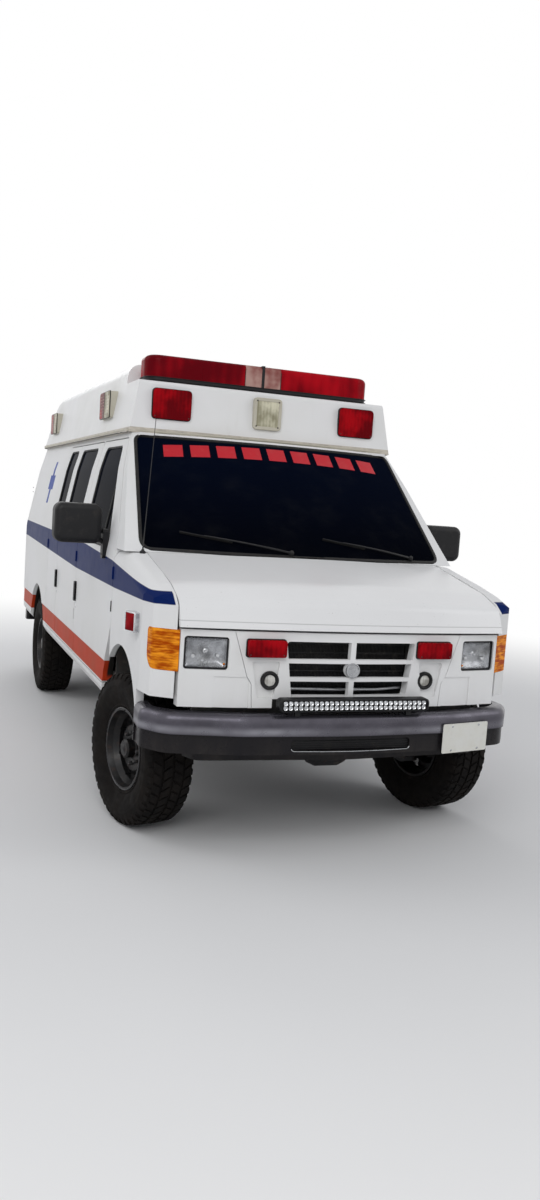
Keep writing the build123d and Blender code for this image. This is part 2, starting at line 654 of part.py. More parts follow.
# The part of the panel under the headlamp bezel is set back by a shallow step.
step_back = along_z(nose_plan(0.0, 20.0), FASCIA_BOTTOM - 10, 919) - along_z(nose_plan(0.0, -5.0), 700, 1200)
step_back &= block(LAMP_IN - 107, LAMP_IN + 63, -900, -400, FASCIA_BOTTOM - 10, 914)
bezel -= step_back
add("front_fascia", bezel, other_side(bezel))

headlamp = along_z(nose_plan(0.0, -14.0), LAMP_LOW, LAMP_HIGH) - along_z(nose_plan(0.0, -50.0), 800, 1200)
headlamp &= along_y(offset(LAMP_OUTLINE, amount=-LAMP_GAP), -1000, -300)
driving_lamp = Pos(DRIVING_LAMP_X, -690, DRIVING_LAMP_Z) * Rot(90, 0, 0) * Cylinder(DRIVING_LAMP_RADIUS, 40)
add("headlamps", headlamp, other_side(headlamp), driving_lamp, other_side(driving_lamp))

GRILLE_LAMP = Pos(LAMP_IN - 181, 1056) * RectangleRounded(192, 82, 12)
grille_lamp = along_z(nose_plan(0.0, 32.0), 1000, 1110) - along_z(nose_plan(0.0, 0.5), 900, 1200)
grille_lamp &= along_y(GRILLE_LAMP, -1000, -300)
add("grille_lamps", grille_lamp, other_side(grille_lamp))

# Radiator support behind the grille, with the aprons and tops of the wheel wells
apron = block(92 - FASCIA_HALF, FASCIA_HALF - 92, SUPPORT_Y, SUPPORT_Y + 28, FLOOR_Z - FLOOR_THICK, 1128)
for side in (1, -1):
    apron += on_side(block(APRON_X - 20, APRON_X, -580, 90, 706, 1240), side)
    apron += on_side(block(APRON_X - 10, BODY_HALF - 77, -480, 90, WELL_TOP, WELL_TOP + 16), side)
# Rubber stops that the hood rests on
for x in (-APRON_X - 10, APRON_X + 10):
    stop = block(x - 20, x + 20, SUPPORT_Y, SUPPORT_Y + 28, 1120, 1400) - Pos(0, 0, -0.3) * hood
    apron += stop.solids().sort_by(Axis.Z)[0]
add("front_aprons", apron)

# Front bumper: plan curve, extruded, with rounded upper edge
BUMPER_PLAN = [
    (BODY_HALF + 9, -418, 0),
    (BODY_HALF + 17, -560, 70),
    (BODY_HALF - 77, -690, 140),
    (560, -776, 300),
    (0, -812, 3000),
    (-560, -776, 300),
    (77 - BODY_HALF, -690, 140),
    (-BODY_HALF - 17, -560, 70),
    (-BODY_HALF - 9, -418, 0),
]
BUMPER_LOW = 548.0
BUMPER_HIGH = 742.0
BUMPER_DEPTH = 66.0
bumper_points = [(x, y) for x, y, _ in BUMPER_PLAN]


def on_plan(point):
    """Whether a point of the bumper's top lies on its outer line."""
    edge = Polyline(*bumper_points)
    return edge.distance_to(Vector(point.X, point.Y, 0)) < 24 and point.Y < -430


bumper_inner = []
for x, y in reversed(bumper_points):
    bumper_inner.append((x * 0.935, y + (BUMPER_DEPTH if abs(x) < BODY_HALF - 7 else 20)))
bumper_inner[0] = (57 - BODY_HALF, -418)
bumper_inner[-1] = (BODY_HALF - 57, -418)
bumper_radii = [r for _, _, r in BUMPER_PLAN]
bumper = along_z(shape(bumper_points + bumper_inner, bumper_radii + bumper_radii), BUMPER_LOW, BUMPER_HIGH)
# Rounded top edge, and a lower half set back under the ridge
BUMPER_RIDGE = 640.0
RIDGE_STEP = 9.0
TOP_ROUND = 40.0
outer_rim = bumper.faces().sort_by(Axis.Z)[-1].edges().sort_by(lambda e: e.center().Y)
front_rim = [e for e in outer_rim if on_plan(e.center())]
bumper = fillet(front_rim, TOP_ROUND)
outer_plan = shape(bumper_points + [(BODY_HALF - 57, -300), (57 - BODY_HALF, -300)], bumper_radii + [0, 0])
lower_ring = along_z(offset(outer_plan, amount=5), BUMPER_LOW - 1, BUMPER_RIDGE)
lower_ring -= along_z(offset(outer_plan, amount=-RIDGE_STEP), BUMPER_LOW - 2, BUMPER_RIDGE + 1)
bumper -= lower_ring & block(-OUTSIDE, OUTSIDE, -900, -430, 0, 1000)
bumper -= along_y(Pos(0, 594) * RectangleRounded(640, 60, 20), -900, -765)
add("front_bumper", bumper)
valance_plan = shape([(-800, -560), (-760, -660), (0, -720), (760, -660), (800, -560)], [0, 60, 900, 60, 0])
valance = along_z(valance_plan, 500, BUMPER_LOW - 0.3)
add("front_bumper", valance)

# Light strip in front of the fascia, on two feet that end just over the bumper's rounded top
led_bar = block(-LED_HALF, LED_HALF, BUMPER_FRONT, BUMPER_FRONT + 54, LED_LOW, LED_TOP)
led_bar = fillet(led_bar.edges().filter_by(Axis.Y), 8)
for x in (-300, 300):
    foot = block(x - 14, x + 14, BUMPER_FRONT + 22, BUMPER_FRONT + 42, BUMPER_HIGH - TOP_ROUND, LED_LOW + 2)
    led_bar += foot - Pos(0, 0, SEAL_GAP) * bumper
add("led_bar", led_bar)

# Raised roof
# Side profile of the cap: station, height, radius
CAP_PROFILE = [
    (ROOF_FRONT - 22, ROOF_SEAT, 0),
    (ROOF_FRONT + 14, SHELF_Z, 24),
    (SHELF_REAR, SHELF_Z, 30),
    (SHELF_REAR + 34, ROOF_TOP - 22, 50),
    (2200, ROOF_TOP, 0),
    (REAR_FACE - 535, ROOF_TOP - 14, 100),
    (REAR_FACE - 255, ROOF_TOP - 160, 100),
    (REAR_FACE - 5, ROOF_SEAT, 0),
]


def cap_volume(inset):
    """Volume of the roof cap, moved in all round by inset."""
    side = [
        (ROOF_FRONT - 22 + inset, ROOF_SEAT - inset),
        (ROOF_FRONT + 14 + inset, SHELF_Z - inset),
        (SHELF_REAR + inset, SHELF_Z - inset),
        (SHELF_REAR + 34 + inset, ROOF_TOP - 22 - inset),
        (2200, ROOF_TOP - inset),
        (REAR_FACE - 535, ROOF_TOP - 14 - inset),
        (REAR_FACE - 255 - inset, ROOF_TOP - 160 - inset),
        (REAR_FACE - 5 - inset, ROOF_SEAT - inset),
    ]
    across = [
        (ROOF_BASE_HALF - inset, ROOF_SEAT - inset),
        (ROOF_TOP_HALF - inset, ROOF_TOP - 40 - inset),
        (0, ROOF_TOP + 6 - inset),
        (-ROOF_TOP_HALF + inset, ROOF_TOP - 40 - inset),
        (-ROOF_BASE_HALF + inset, ROOF_SEAT - inset),
    ]
    radii = [r for _, _, r in CAP_PROFILE]
    return along_x(shape(side, radii), -BODY_HALF, BODY_HALF) & along_y(
        shape(across, [0, 90, 3000, 90, 0]), 600, REAR_BUMPER_END
    )


LIP_HALF = ROOF_BASE_HALF + 11.0
LIP_PLAN = [
    (LIP_HALF, REAR_FACE + 7, 60),
    (LIP_HALF, 1000, 0),
    (LIP_HALF - 5, 812, 40),
    (520, 716, 500),
    (0, 690, 900),
]
lip_points = [(x, y) for x, y, _ in LIP_PLAN] + [(-x, y) for x, y, _ in reversed(LIP_PLAN[:-1])]
lip_radii = [r for _, _, r in LIP_PLAN] + [r for _, _, r in reversed(LIP_PLAN[:-1])]
lip = along_z(shape(lip_points, lip_radii), ROOF_SEAT, LIP_TOP)
roof = cap_volume(0.0) + lip
roof -= cap_volume(ROOF_WALL) & block(-BODY_HALF, BODY_HALF, 820, REAR_FACE - 45, 2000, 3000)
roof -= block(62 - ROOF_BASE_HALF, ROOF_BASE_HALF - 62, 830, REAR_FACE - 145, 2000, LIP_TOP + 4)
add("raised_roof", roof)

# Warning lamps let into the front of the cap: across, height, width, high
FRONT_LAMP_Z = SHELF_Z - 136.0
FRONT_LAMPS = [(610, FRONT_LAMP_Z, 236, 176), (-610, FRONT_LAMP_Z, 236, 176)]


def roof_lamp(x, z, wide, high):
    """Square lamp on the leaning front of the cap."""
    lean = (z - GUTTER_Z) / (SHELF_Z - GUTTER_Z) * 36 - 22
    y = ROOF_FRONT + lean
    lens = Pos(x, y - 14.5, z) * Box(wide, 26, high)
    lens = fillet(lens.edges().filter_by(Axis.Y), 22)
    return lens - cap_volume(-0.4)


add("roof_lamps_red", *[roof_lamp(*row) for row in FRONT_LAMPS])
add("roof_lamps_clear", roof_lamp(0, FRONT_LAMP_Z, 178, 190))
SIDE_LAMPS = [1560.0, REAR_FACE - 585.0]
SIDE_LAMP_Z = ROOF_TOP - 282.0
SIDE_LAMP_HALF = 165.0
for y in SIDE_LAMPS:
    for half, node in ((-1, "roof_lamps_clear"), (1, "roof_lamps_red")):
        centre = y + half * SIDE_LAMP_HALF / 2
        lens = Pos(ROOF_BASE_HALF - 24, centre, SIDE_LAMP_Z) * Box(64, SIDE_LAMP_HALF - 2, 168)
        lens = fillet(lens.edges().filter_by(Axis.X), 18)
        lens -= cap_volume(-0.4)
        add(node, lens, other_side(lens))

# Light bar on the shelf
BAR_HALF = 747.0
BAR_FRONT = 882.0
BAR_REAR = 1140.0
BAR_BASE_Z = SHELF_Z + 34.0
BAR_TOP = SHELF_Z + 170.0
CLEAR_HALF = 118.0


def bar_slice(x0, x1, z0, z1, grow=0.0):
    """Piece of the light bar with its rounded ends."""
    plan = Pos(0, (BAR_FRONT + BAR_REAR) / 2) * RectangleRounded(
        2 * BAR_HALF + 2 * grow, BAR_REAR - BAR_FRONT + 2 * grow, 96
    )
    return along_z(plan, z0, z1) & block(x0, x1, 0, 2000, 0, 3000)


base = bar_slice(-900, 900, SHELF_Z + 12, BAR_BASE_Z)
for x in (-520, 520):
    base += block(x - 60, x + 60, BAR_FRONT + 70, BAR_REAR - 70, SHELF_Z + 0.5, SHELF_Z + 14)
base += bar_slice(-9, 9, BAR_BASE_Z - 2, BAR_TOP + 2)
add("light_bar_base", base)
red = bar_slice(CLEAR_HALF + 1, 900, BAR_BASE_Z + 0.5, BAR_TOP)
red = fillet(red.faces().sort_by(Axis.Z)[-1].edges().filter_by(lambda e: e.center().X > CLEAR_HALF + 5), 34)
add("light_bar_red", red, other_side(red))
clear = bar_slice(10, CLEAR_HALF, BAR_BASE_Z + 0.5, BAR_TOP)
clear = fillet(clear.faces().sort_by(Axis.Z)[-1].edges().filter_by(Axis.X), 34)
add("light_bar_clear", clear, other_side(clear))

# Small lamps on the fenders
MARKER_OUT = 44.0
marker = block(BODY_HALF + SEAL_GAP, BODY_HALF + MARKER_OUT, -398, -300, 1074, 1172)
marker = fillet(marker.faces().sort_by(Axis.X)[-1].edges(), 10)
add("fender_markers", marker, other_side(marker))

# Wipers on the windscreen and the radio mast on the cowl
# Pivot and tip of each arm, as across and height, with the station of the glass behind them
WIPERS = [((-100, -56, 1470), (-640, 66, 1545)), ((680, 17, 1470), (170, 19, 1550))]
wipers = [rod(pivot, tip, 7) - screen_sheet(3.7, 80) for pivot, tip in WIPERS]
mast = rod((-905, 60, 1447), (-815, 300, 2165), 4) + Pos(-905, 58, 1444) * Cylinder(16, 22)
add("wipers_and_mast", *wipers, mast - cab_frame - other_side(front_fender()))

# Floor with its four wheel houses
FLOOR_HALF = BODY_HALF - 67.0
HOUSE_IN = REAR_TYRE_MID - 153.0
HOUSE_TOP = 962.0
HOUSE_WALL = 20.0
floor = block(-FLOOR_HALF, FLOOR_HALF, 122, REAR_SEAM - 62, FLOOR_Z - FLOOR_THICK, FLOOR_Z)
house_y0 = WHEELBASE - ARCH_RADIUS - 30
house_y1 = WHEELBASE + ARCH_RADIUS + 30
POST_IN = BODY_HALF - WALL - RAIL_DEPTH - 8
for side in (1, -1):
    house = block(HOUSE_IN - HOUSE_WALL, FLOOR_HALF + 4, house_y0, house_y1, FLOOR_Z - FLOOR_THICK, HOUSE_TOP)
    hollow = block(HOUSE_IN, OUTSIDE, house_y0 + HOUSE_WALL, house_y1 - HOUSE_WALL, 0, HOUSE_TOP - HOUSE_WALL)
    floor += on_side(house, side)
    floor -= on_side(hollow, side)
    well = block(APRON_X - 20, FLOOR_HALF, 122, WELL_REAR + 20, FLOOR_Z - FLOOR_THICK, WELL_TOP)
    floor += on_side(well, side)
    floor -= on_side(block(APRON_X, OUTSIDE, 100, WELL_REAR, 0, WELL_TOP - 20), side)
    floor -= on_side(block(POST_IN, OUTSIDE, DOOR_REAR - 54, DOOR_REAR + 54, 0, 1000), side)
floor -= block(-OUTSIDE, -POST_IN, CARGO_REAR - 34, CARGO_REAR + 64, 0, 1000)
floor -= block(-TUNNEL_HALF - 8, TUNNEL_HALF + 8, 100, COVER_REAR - 34, 0, 2000)
add("floor_pan", floor)
cover_half = TUNNEL_HALF + COVER_WALL + 2
cover = block(-cover_half, cover_half, 122, COVER_REAR, FLOOR_Z + 0.5, TUNNEL_TOP + COVER_WALL)
cover -= block(-TUNNEL_HALF, TUNNEL_HALF, 100, COVER_REAR - COVER_WALL, 0, TUNNEL_TOP)
cover = fillet(cover.faces().sort_by(Axis.Z)[-1].edges().filter_by(Axis.Y), 24)
add("interior_fittings", cover)

# Chassis
FRAME_X = 430.0
FRAME_LOW = 560.0
FRAME_HIGH = FLOOR_Z - FLOOR_THICK
SPRING_X = 505.0
FRONT_SPRING = 520.0
REAR_SPRING = 620.0
SPRING_RISE = 90.0
SPRING_THICK = 22.0
AXLE_Z = TYRE_RADIUS
SPRING_Z = AXLE_Z + 60.0
frame = block(-FRAME_X, FRAME_X, 1216, 1284, 580, 670)
for y in (-490, 2200, WHEELBASE - 505, WHEELBASE + 455, WHEELBASE + 825):
    frame += block(-FRAME_X, FRAME_X, y - 34, y + 34, 580, 670)
eye_z = SPRING_Z + SPRING_RISE + SPRING_THICK + 0.3
for side in (1, -1):
    rail = block(FRAME_X - 38, FRAME_X + 38, SUPPORT_Y - 10, REAR_SEAM - 30, FRAME_LOW, FRAME_HIGH)
    frame += on_side(rail, side)
    for y in (-FRONT_SPRING, FRONT_SPRING, WHEELBASE - REAR_SPRING, WHEELBASE + REAR_SPRING):
        hanger = block(FRAME_X + 20, SPRING_X + 32, y - 30, y + 30, eye_z, FRAME_HIGH - 20)
        frame += on_side(hanger, side)
    bracket = block(FRAME_X - 30, FRAME_X + 30, -760, SUPPORT_Y, 600, 688)
    frame += on_side(bracket, side) - bumper
add("chassis_frame", frame)
engine = block(-230, 230, -420, 470, 700, 1080) + block(-150, 150, 380, 540, 520, 760)
engine += block(-120, 120, 530, 1150, 500, 660)
engine += block(-FRAME_X - 20, FRAME_X + 20, -40, 40, FRAME_HIGH, FRAME_HIGH + 40)
engine += rod((0, 1120, 534), (0, WHEELBASE - 152, AXLE_Z), 38)
add("powertrain", engine)
add("fuel_tank", fillet(block(70, 380, 1700, 2700, 340, 579.7).edges().filter_by(Axis.Y), 40))
EXHAUST_X = -300.0
EXHAUST_Z = 470.0
PIPE = 32.0
exhaust = rod((EXHAUST_X, 700, EXHAUST_Z), (EXHAUST_X, WHEELBASE - 545, EXHAUST_Z), PIPE)
exhaust += rod((EXHAUST_X, 1700, EXHAUST_Z), (EXHAUST_X, 2150, EXHAUST_Z), 88)
exhaust += rod((-140, 440, 560), (EXHAUST_X, 700, EXHAUST_Z), PIPE)
exhaust += Pos(EXHAUST_X, 700, EXHAUST_Z) * Sphere(PIPE)
exhaust += block(EXHAUST_X - 10, EXHAUST_X + 10, 1240, 1260, EXHAUST_Z + 10, 579.7)
add("exhaust", exhaust - engine)


def leaf_spring(x, y, z, half, width):
    """Leaf pack with its two eyes, as a gentle arc in side view."""
    rise = SPRING_RISE
    top = SPRING_RISE + SPRING_THICK
    main = ThreePointArc((y - half, z + rise), (y, z), (y + half, z + rise))
    back = Line(main @ 1, (y + half, z + top))
    under = ThreePointArc((y + half, z + top), (y, z + 2 * SPRING_THICK), (y - half, z + top))
    end = Line(under @ 1, main @ 0)
    return along_x(make_face(main + back + under + end), x - width / 2, x + width / 2)


springs = []
for x in (-SPRING_X, SPRING_X):
    springs.append(leaf_spring(x, 0, SPRING_Z, FRONT_SPRING, 64))
    springs.append(leaf_spring(x, WHEELBASE, SPRING_Z, REAR_SPRING, 64))
add("leaf_springs", *springs)


def axle_tube(points):
    """Turn an axle's outline, given as across and radius, about the axle line."""
    outline = [(points[0][0], 0)] + points + [(points[-1][0], 0)]
    return Pos(0, 0, AXLE_Z) * revolve(make_face(Polyline(*outline, close=True)), Axis.X)


def spring_pads(axle):
    """Axle with the pads under its two springs."""
    for x in (-SPRING_X, SPRING_X):
        axle += block(x - 38, x + 38, -60, 60, AXLE_Z + 30, SPRING_Z - 0.3)
    return axle


REAR_END = REAR_TYRE_MID + 70
BACKING_X = REAR_TYRE_MID - 113
rear_half = [
    (150, 44),
    (BACKING_X, 44),
    (BACKING_X, 80),
    (BACKING_X + 30, 80),
    (BACKING_X + 30, SPINDLE_RADIUS),
    (REAR_END, SPINDLE_RADIUS),
]
differential = [(-100, 130), (-60, 150), (60, 150), (100, 130)]
rear_line = [(-x, r) for x, r in reversed(rear_half)] + differential + rear_half
add("rear_axle", Pos(0, WHEELBASE, 0) * spring_pads(axle_tube(rear_line)))

YOKE_HALF = 96.0
YOKE_X = KINGPIN_X - 80
front_line = [(-YOKE_X - 10, 44), (50, 44), (105, 118), (145, 136)]
front_line += [(275, 136), (315, 118), (370, 44), (YOKE_X + 10, 44)]
front_axle = spring_pads(axle_tube(front_line))
for side in (-1, 1):
    yoke = block(YOKE_X, YOKE_X + 26, -42, 42, AXLE_Z - YOKE_HALF - 24, AXLE_Z + YOKE_HALF + 24)
    for low in (AXLE_Z - YOKE_HALF - 24, AXLE_Z + YOKE_HALF):
        yoke += block(YOKE_X + 10, KINGPIN_X, -34, 34, low, low + 24)
        yoke += Pos(KINGPIN_X, 0, low + 12) * Cylinder(34, 24)
    yoke -= Pos(KINGPIN_X, 0, AXLE_Z) * Cylinder(KINGPIN_RADIUS + RUNNING_GAP, 400)
    front_axle += on_side(yoke, side)
add("front_axle", front_axle)


def turned(solid, side):
    """Turn a steered piece to its angle at rest about its kingpin."""
    pin = Axis((side * KINGPIN_X, 0, 0), (0, 0, 1))
    return solid.rotate(pin, STEER_AT_REST)


def knuckle(side):
    """Upright with its kingpin, its spindle and the arm to the tie rod."""
    x = KINGPIN_X
    body = Pos(x, 0, AXLE_Z) * Cylinder(32, 2 * YOKE_HALF - 2)
    body += Pos(x, 0, AXLE_Z) * Cylinder(KINGPIN_RADIUS, 2 * YOKE_HALF + 60)
    body += rod((x, 0, AXLE_Z), (x + 62, 0, AXLE_Z), 46)
    body += rod((x, 0, AXLE_Z), (FRONT_TYRE_MID + 70, 0, AXLE_Z), SPINDLE_RADIUS)
    body += block(x - 16, x + 16, 0, TIE_ARM, AXLE_Z - 60, AXLE_Z - 36)
    body += Pos(x, TIE_ARM, AXLE_Z - 48) * Cylinder(20, 24)
    body += Pos(x, TIE_ARM, AXLE_Z - 70) * Cylinder(8, 40)
    if side < 0:
        body = other_side(body)
    return turned(body, side)


def wheel_profile(points):
    """Turn a half profile about the wheel's axle."""
    return revolve(Plane.XY * shape(points), Axis.X)


def rim(mid):
    """Pressed steel rim with its drop centre, dished disc and hub hole."""
    w = RIM_WIDTH / 2
    r = RIM_RADIUS
    barrel = [
        (-w, r), (-w, r - 14), (-w + 30, r - 24), (-20, r - 42), (w - 60, r - 42), (w - 30, r - 24),
        (w, r - 14), (w, r), (w - 9, r), (w - 9, r - 6), (w - 34, r - 16), (w - 62, r - 34), (-20, r - 34),
        (-w + 34, r - 16), (-w + 9, r - 6), (-w + 9, r),
    ]
    bore = SPINDLE_RADIUS + RUNNING_GAP
    disc = [(20, r - 41), (12, r - 41), (12, 150), (38, 118), (38, bore), (46, bore), (46, 120), (20, 154)]
    hub = [(-22, bore), (46, bore), (46, HUB_RADIUS - 8), (-22, HUB_RADIUS - 8)]
    cap_in = SPINDLE_RADIUS + 6
    cap = [(72, 0), (96, 0), (96, 40), (88, 48), (46, 48), (46, cap_in), (72, cap_in)]
    solid = wheel_profile(barrel) + wheel_profile(disc) + wheel_profile(hub) + wheel_profile(cap)
    for i in range(8):
        angle = i * 45 + 22.5
        solid -= Rot(angle, 0, 0) * Pos(16, 0, 166) * Rot(0, 90, 0) * Cylinder(13, 60)
    return Pos(mid, 0, AXLE_Z) * solid


def tyre(mid):
    """Wide tyre with rounded shoulders and side grooves between its tread blocks."""
    w = TYRE_WIDTH / 2
    r = TYRE_RADIUS
    section = [
        (-w + 30, RIM_RADIUS + 0.5, 0),
        (-w, RIM_RADIUS + 70, 50),
        (-w + 4, r - 42, 30),
        (-w + 22, r, 16),
        (w - 22, r, 16),
        (w - 4, r - 42, 30),
        (w, RIM_RADIUS + 70, 50),
        (w - 30, RIM_RADIUS + 0.5, 0),
    ]
    face = shape([(a, b) for a, b, _ in section], [c for _, _, c in section])
    return Pos(mid, 0, AXLE_Z) * revolve(Plane.XY * face, Axis.X)


for side in (1, -1):
    name = "left" if side > 0 else "right"
    add(f"knuckle_{name}", knuckle(side))
    add(f"rim_front_{name}", turned(on_side(rim(FRONT_TYRE_MID), side), side))
    add(f"tyre_front_{name}", turned(on_side(tyre(FRONT_TYRE_MID), side), side))
    add(f"rim_rear_{name}", on_side(Pos(0, WHEELBASE, 0) * rim(REAR_TYRE_MID), side))
    add(f"tyre_rear_{name}", on_side(Pos(0, WHEELBASE, 0) * tyre(REAR_TYRE_MID), side))

# Tie rod between the arms of the two knuckles
pin_x = KINGPIN_X - TIE_ARM * sin(radians(STEER_AT_REST))
pin_y = TIE_ARM * cos(radians(STEER_AT_REST))
pin_right = -KINGPIN_X - TIE_ARM * sin(radians(STEER_AT_REST))
TIE_Z = AXLE_Z - 73.0
tie = rod((pin_right, pin_y, TIE_Z), (pin_x, pin_y, TIE_Z), 11)
for x in (pin_right, pin_x):
    tie += Pos(x, pin_y, TIE_Z) * Cylinder(20, 23)
for x in (pin_right, pin_x):
    tie -= Pos(x, pin_y, TIE_Z) * Cylinder(8 + RUNNING_GAP, 60)
add("tie_rod", tie)

# Rear step bumper with the hitch ball
STEP_HALF = BODY_HALF - 47.0
HITCH_Y = REAR_BUMPER_END - 60.0
step = block(-STEP_HALF, STEP_HALF, REAR_FACE + 21, REAR_BUMPER_END, 470, 560)
step = fillet(step.edges().filter_by(Axis.Z), 30)
step -= Pos(0, HITCH_Y, 515) * Cylinder(13, 200)
for x in (-FRAME_X, FRAME_X):
    step += block(x - 30, x + 30, REAR_SEAM - 124, REAR_FACE + 55, 500, FRAME_LOW - 0.3)
add("rear_bumper", step)

# Inside: seats, dashboard with its wheel, partition, bench and cabinet
for x in (-520, 520):
    seat = block(x - 250, x + 250, 700, 1240, 860, 1040)
    seat += block(x - 240, x + 240, 1150, 1300, 1000, 1660)
    seat += block(x - 180, x + 180, 760, 1180, FLOOR_Z + 0.5, 862)
    add("seats", seat)
DASH_HALF = HOOD_HALF - 40.0
DASH_LOW = TUNNEL_TOP + COVER_WALL + 0.3
dash_line = [(120.3, DASH_LOW), (120.3, 1445), (240, 1470), (430, 1400), (440, 1180), (330, DASH_LOW)]
dash = along_x(shape(dash_line, [0, 0, 40, 60, 60, 0]), -DASH_HALF, DASH_HALF)
column = rod((520, 420, 1290), (520, 600, 1370), 28)
wheel_ring = Pos(520, 610, 1374) * Rot(66, 0, 0) * Torus(190, 14)
spokes = rod((520 - 185, 610, 1374), (520 + 185, 610, 1374), 12)
add("dashboard", dash + column + spokes + wheel_ring)
room = along_y(body_section(WALL + RAIL_DEPTH + 6), DOOR_REAR - 45, REAR_SEAM - 24)
PARTITION_Y = DOOR_REAR + 15.0
partition = block(-BODY_HALF, BODY_HALF, PARTITION_Y, PARTITION_Y + 30, FLOOR_Z + 0.5, 2080) & room
partition -= block(-280, 280, PARTITION_Y - 10, PARTITION_Y + 40, FLOOR_Z + 60, 1980)
add("interior_fittings", partition)
bench = block(127 - BODY_HALF, -400, WHEELBASE - 485, WHEELBASE + 795, FLOOR_Z + 0.5, 1160)
bench -= block(-BODY_HALF, 40 - HOUSE_IN, house_y0 - 10, house_y1 + 10, 0, HOUSE_TOP + 8)
add("interior_fittings", bench)
CABINET_FRONT = 1900.0
CABINET_REAR = WHEELBASE + 745.0
CABINET_IN = 440.0
BAYS = 4
cabinet = block(CABINET_IN, BODY_HALF - 147, CABINET_FRONT, CABINET_REAR, FLOOR_Z + 0.5, 1880) & room
cabinet -= block(HOUSE_IN - 40, BODY_HALF, house_y0 - 10, house_y1 + 10, 0, HOUSE_TOP + 8)
bay = (CABINET_REAR - CABINET_FRONT - 30) / BAYS
for z in (1010, 1330, 1640):
    for i in range(BAYS):
        y = CABINET_FRONT + 40 + i * bay
        cabinet -= block(CABINET_IN - 40, CABINET_IN + 200, y, y + bay - 60, z, z + 200)
add("interior_fittings", cabinet)

os.makedirs("parts", exist_ok=True)
for node, solids in pieces.items():
    moved = [Pos(0, -MID_STATION, 0) * s for s in solids]
    parts = [p for m in moved for p in m.solids()]
    export_step(Compound(children=parts), f"parts/{node}.step")
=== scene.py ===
"""Looks of the high-roof van ambulance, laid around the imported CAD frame."""
from math import ceil, cos, pi, radians, sin, tan

import bmesh
import bpy
from mathutils import Matrix, Vector
from mathutils.bvhtree import BVHTree


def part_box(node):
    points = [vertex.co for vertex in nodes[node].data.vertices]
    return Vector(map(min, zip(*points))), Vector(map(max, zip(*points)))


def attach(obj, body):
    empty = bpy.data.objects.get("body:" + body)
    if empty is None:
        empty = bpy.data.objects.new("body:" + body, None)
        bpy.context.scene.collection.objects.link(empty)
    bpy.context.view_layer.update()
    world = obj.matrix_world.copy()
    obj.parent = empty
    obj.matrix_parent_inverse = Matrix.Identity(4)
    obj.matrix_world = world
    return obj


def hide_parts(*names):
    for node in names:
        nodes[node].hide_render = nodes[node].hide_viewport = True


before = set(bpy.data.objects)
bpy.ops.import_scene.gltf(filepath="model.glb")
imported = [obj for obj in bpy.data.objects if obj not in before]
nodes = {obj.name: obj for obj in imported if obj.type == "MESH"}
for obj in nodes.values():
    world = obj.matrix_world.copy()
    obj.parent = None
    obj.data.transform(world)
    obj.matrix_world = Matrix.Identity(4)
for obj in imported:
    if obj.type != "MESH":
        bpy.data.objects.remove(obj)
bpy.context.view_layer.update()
scene = bpy.context.scene

# Stations are millimetres behind the front axle, as in the part's source.
MID_STATION = 1947.0
SIDES = ((1, "left"), (-1, "right"))
UP = (0, 0, 1)


def at(x, station, z):
    """Point in metres from millimetres across, along and up."""
    return Vector((x / 1000, (station - MID_STATION) / 1000, z / 1000))


# Camera, solved from the photograph
YAW, PITCH, ROLL = radians(20.7095), radians(-5.6557), radians(3.9353)
CAMERA_PLACE = (-2.0944, -6.9946, 1.7481)
ahead = Vector((sin(YAW) * cos(PITCH), cos(YAW) * cos(PITCH), sin(PITCH)))
level = Vector((cos(YAW), -sin(YAW), 0))
above = level.cross(ahead)
cam_right = cos(ROLL) * level + sin(ROLL) * above
cam_up = cos(ROLL) * above - sin(ROLL) * level
cam_data = bpy.data.cameras.new("camera")
cam_data.lens = 29.35
cam_data.sensor_width = 36
cam_data.clip_end = 200
camera = bpy.data.objects.new("camera", cam_data)
turn = Matrix((cam_right, cam_up, -ahead)).transposed().to_4x4()
camera.matrix_world = Matrix.Translation(CAMERA_PLACE) @ turn
scene.collection.objects.link(camera)
scene.camera = camera
scene.view_settings.view_transform = "Standard"


class Tree:
    """Short forms for the nodes of a material or world."""

    def __init__(self, tree):
        self.tree = tree

    def join(self, target, value):
        """Set a socket to a number or colour, or link it to another socket."""
        if isinstance(value, bpy.types.NodeSocket):
            self.tree.links.new(value, target)
        elif isinstance(value, (tuple, list)) and len(value) == 3 and target.type == "RGBA":
            target.default_value = (*value, 1)
        else:
            target.default_value = value

    def node(self, kind, settings=(), **inputs):
        """Make a node; inputs go by name, or by number as i0, i1 and so on."""
        made = self.tree.nodes.new(kind)
        for key, value in dict(settings).items():
            setattr(made, key, value)
        for key, value in inputs.items():
            numbered = key[0] == "i" and key[1:].isdigit()
            self.join(made.inputs[int(key[1:]) if numbered else key], value)
        return made

    def math(self, operation, a, b=0.0, c=0.0):
        return self.node("ShaderNodeMath", {"operation": operation}, i0=a, i1=b, i2=c).outputs[0]

    def seen(self):
        """One for rays from the camera, mirrors and clear things, zero for light on the object."""
        rays = self.node("ShaderNodeLightPath").outputs
        shown = self.math("MAXIMUM", rays["Is Camera Ray"], rays["Is Glossy Ray"])
        return self.math("MAXIMUM", shown, rays["Is Transmission Ray"])


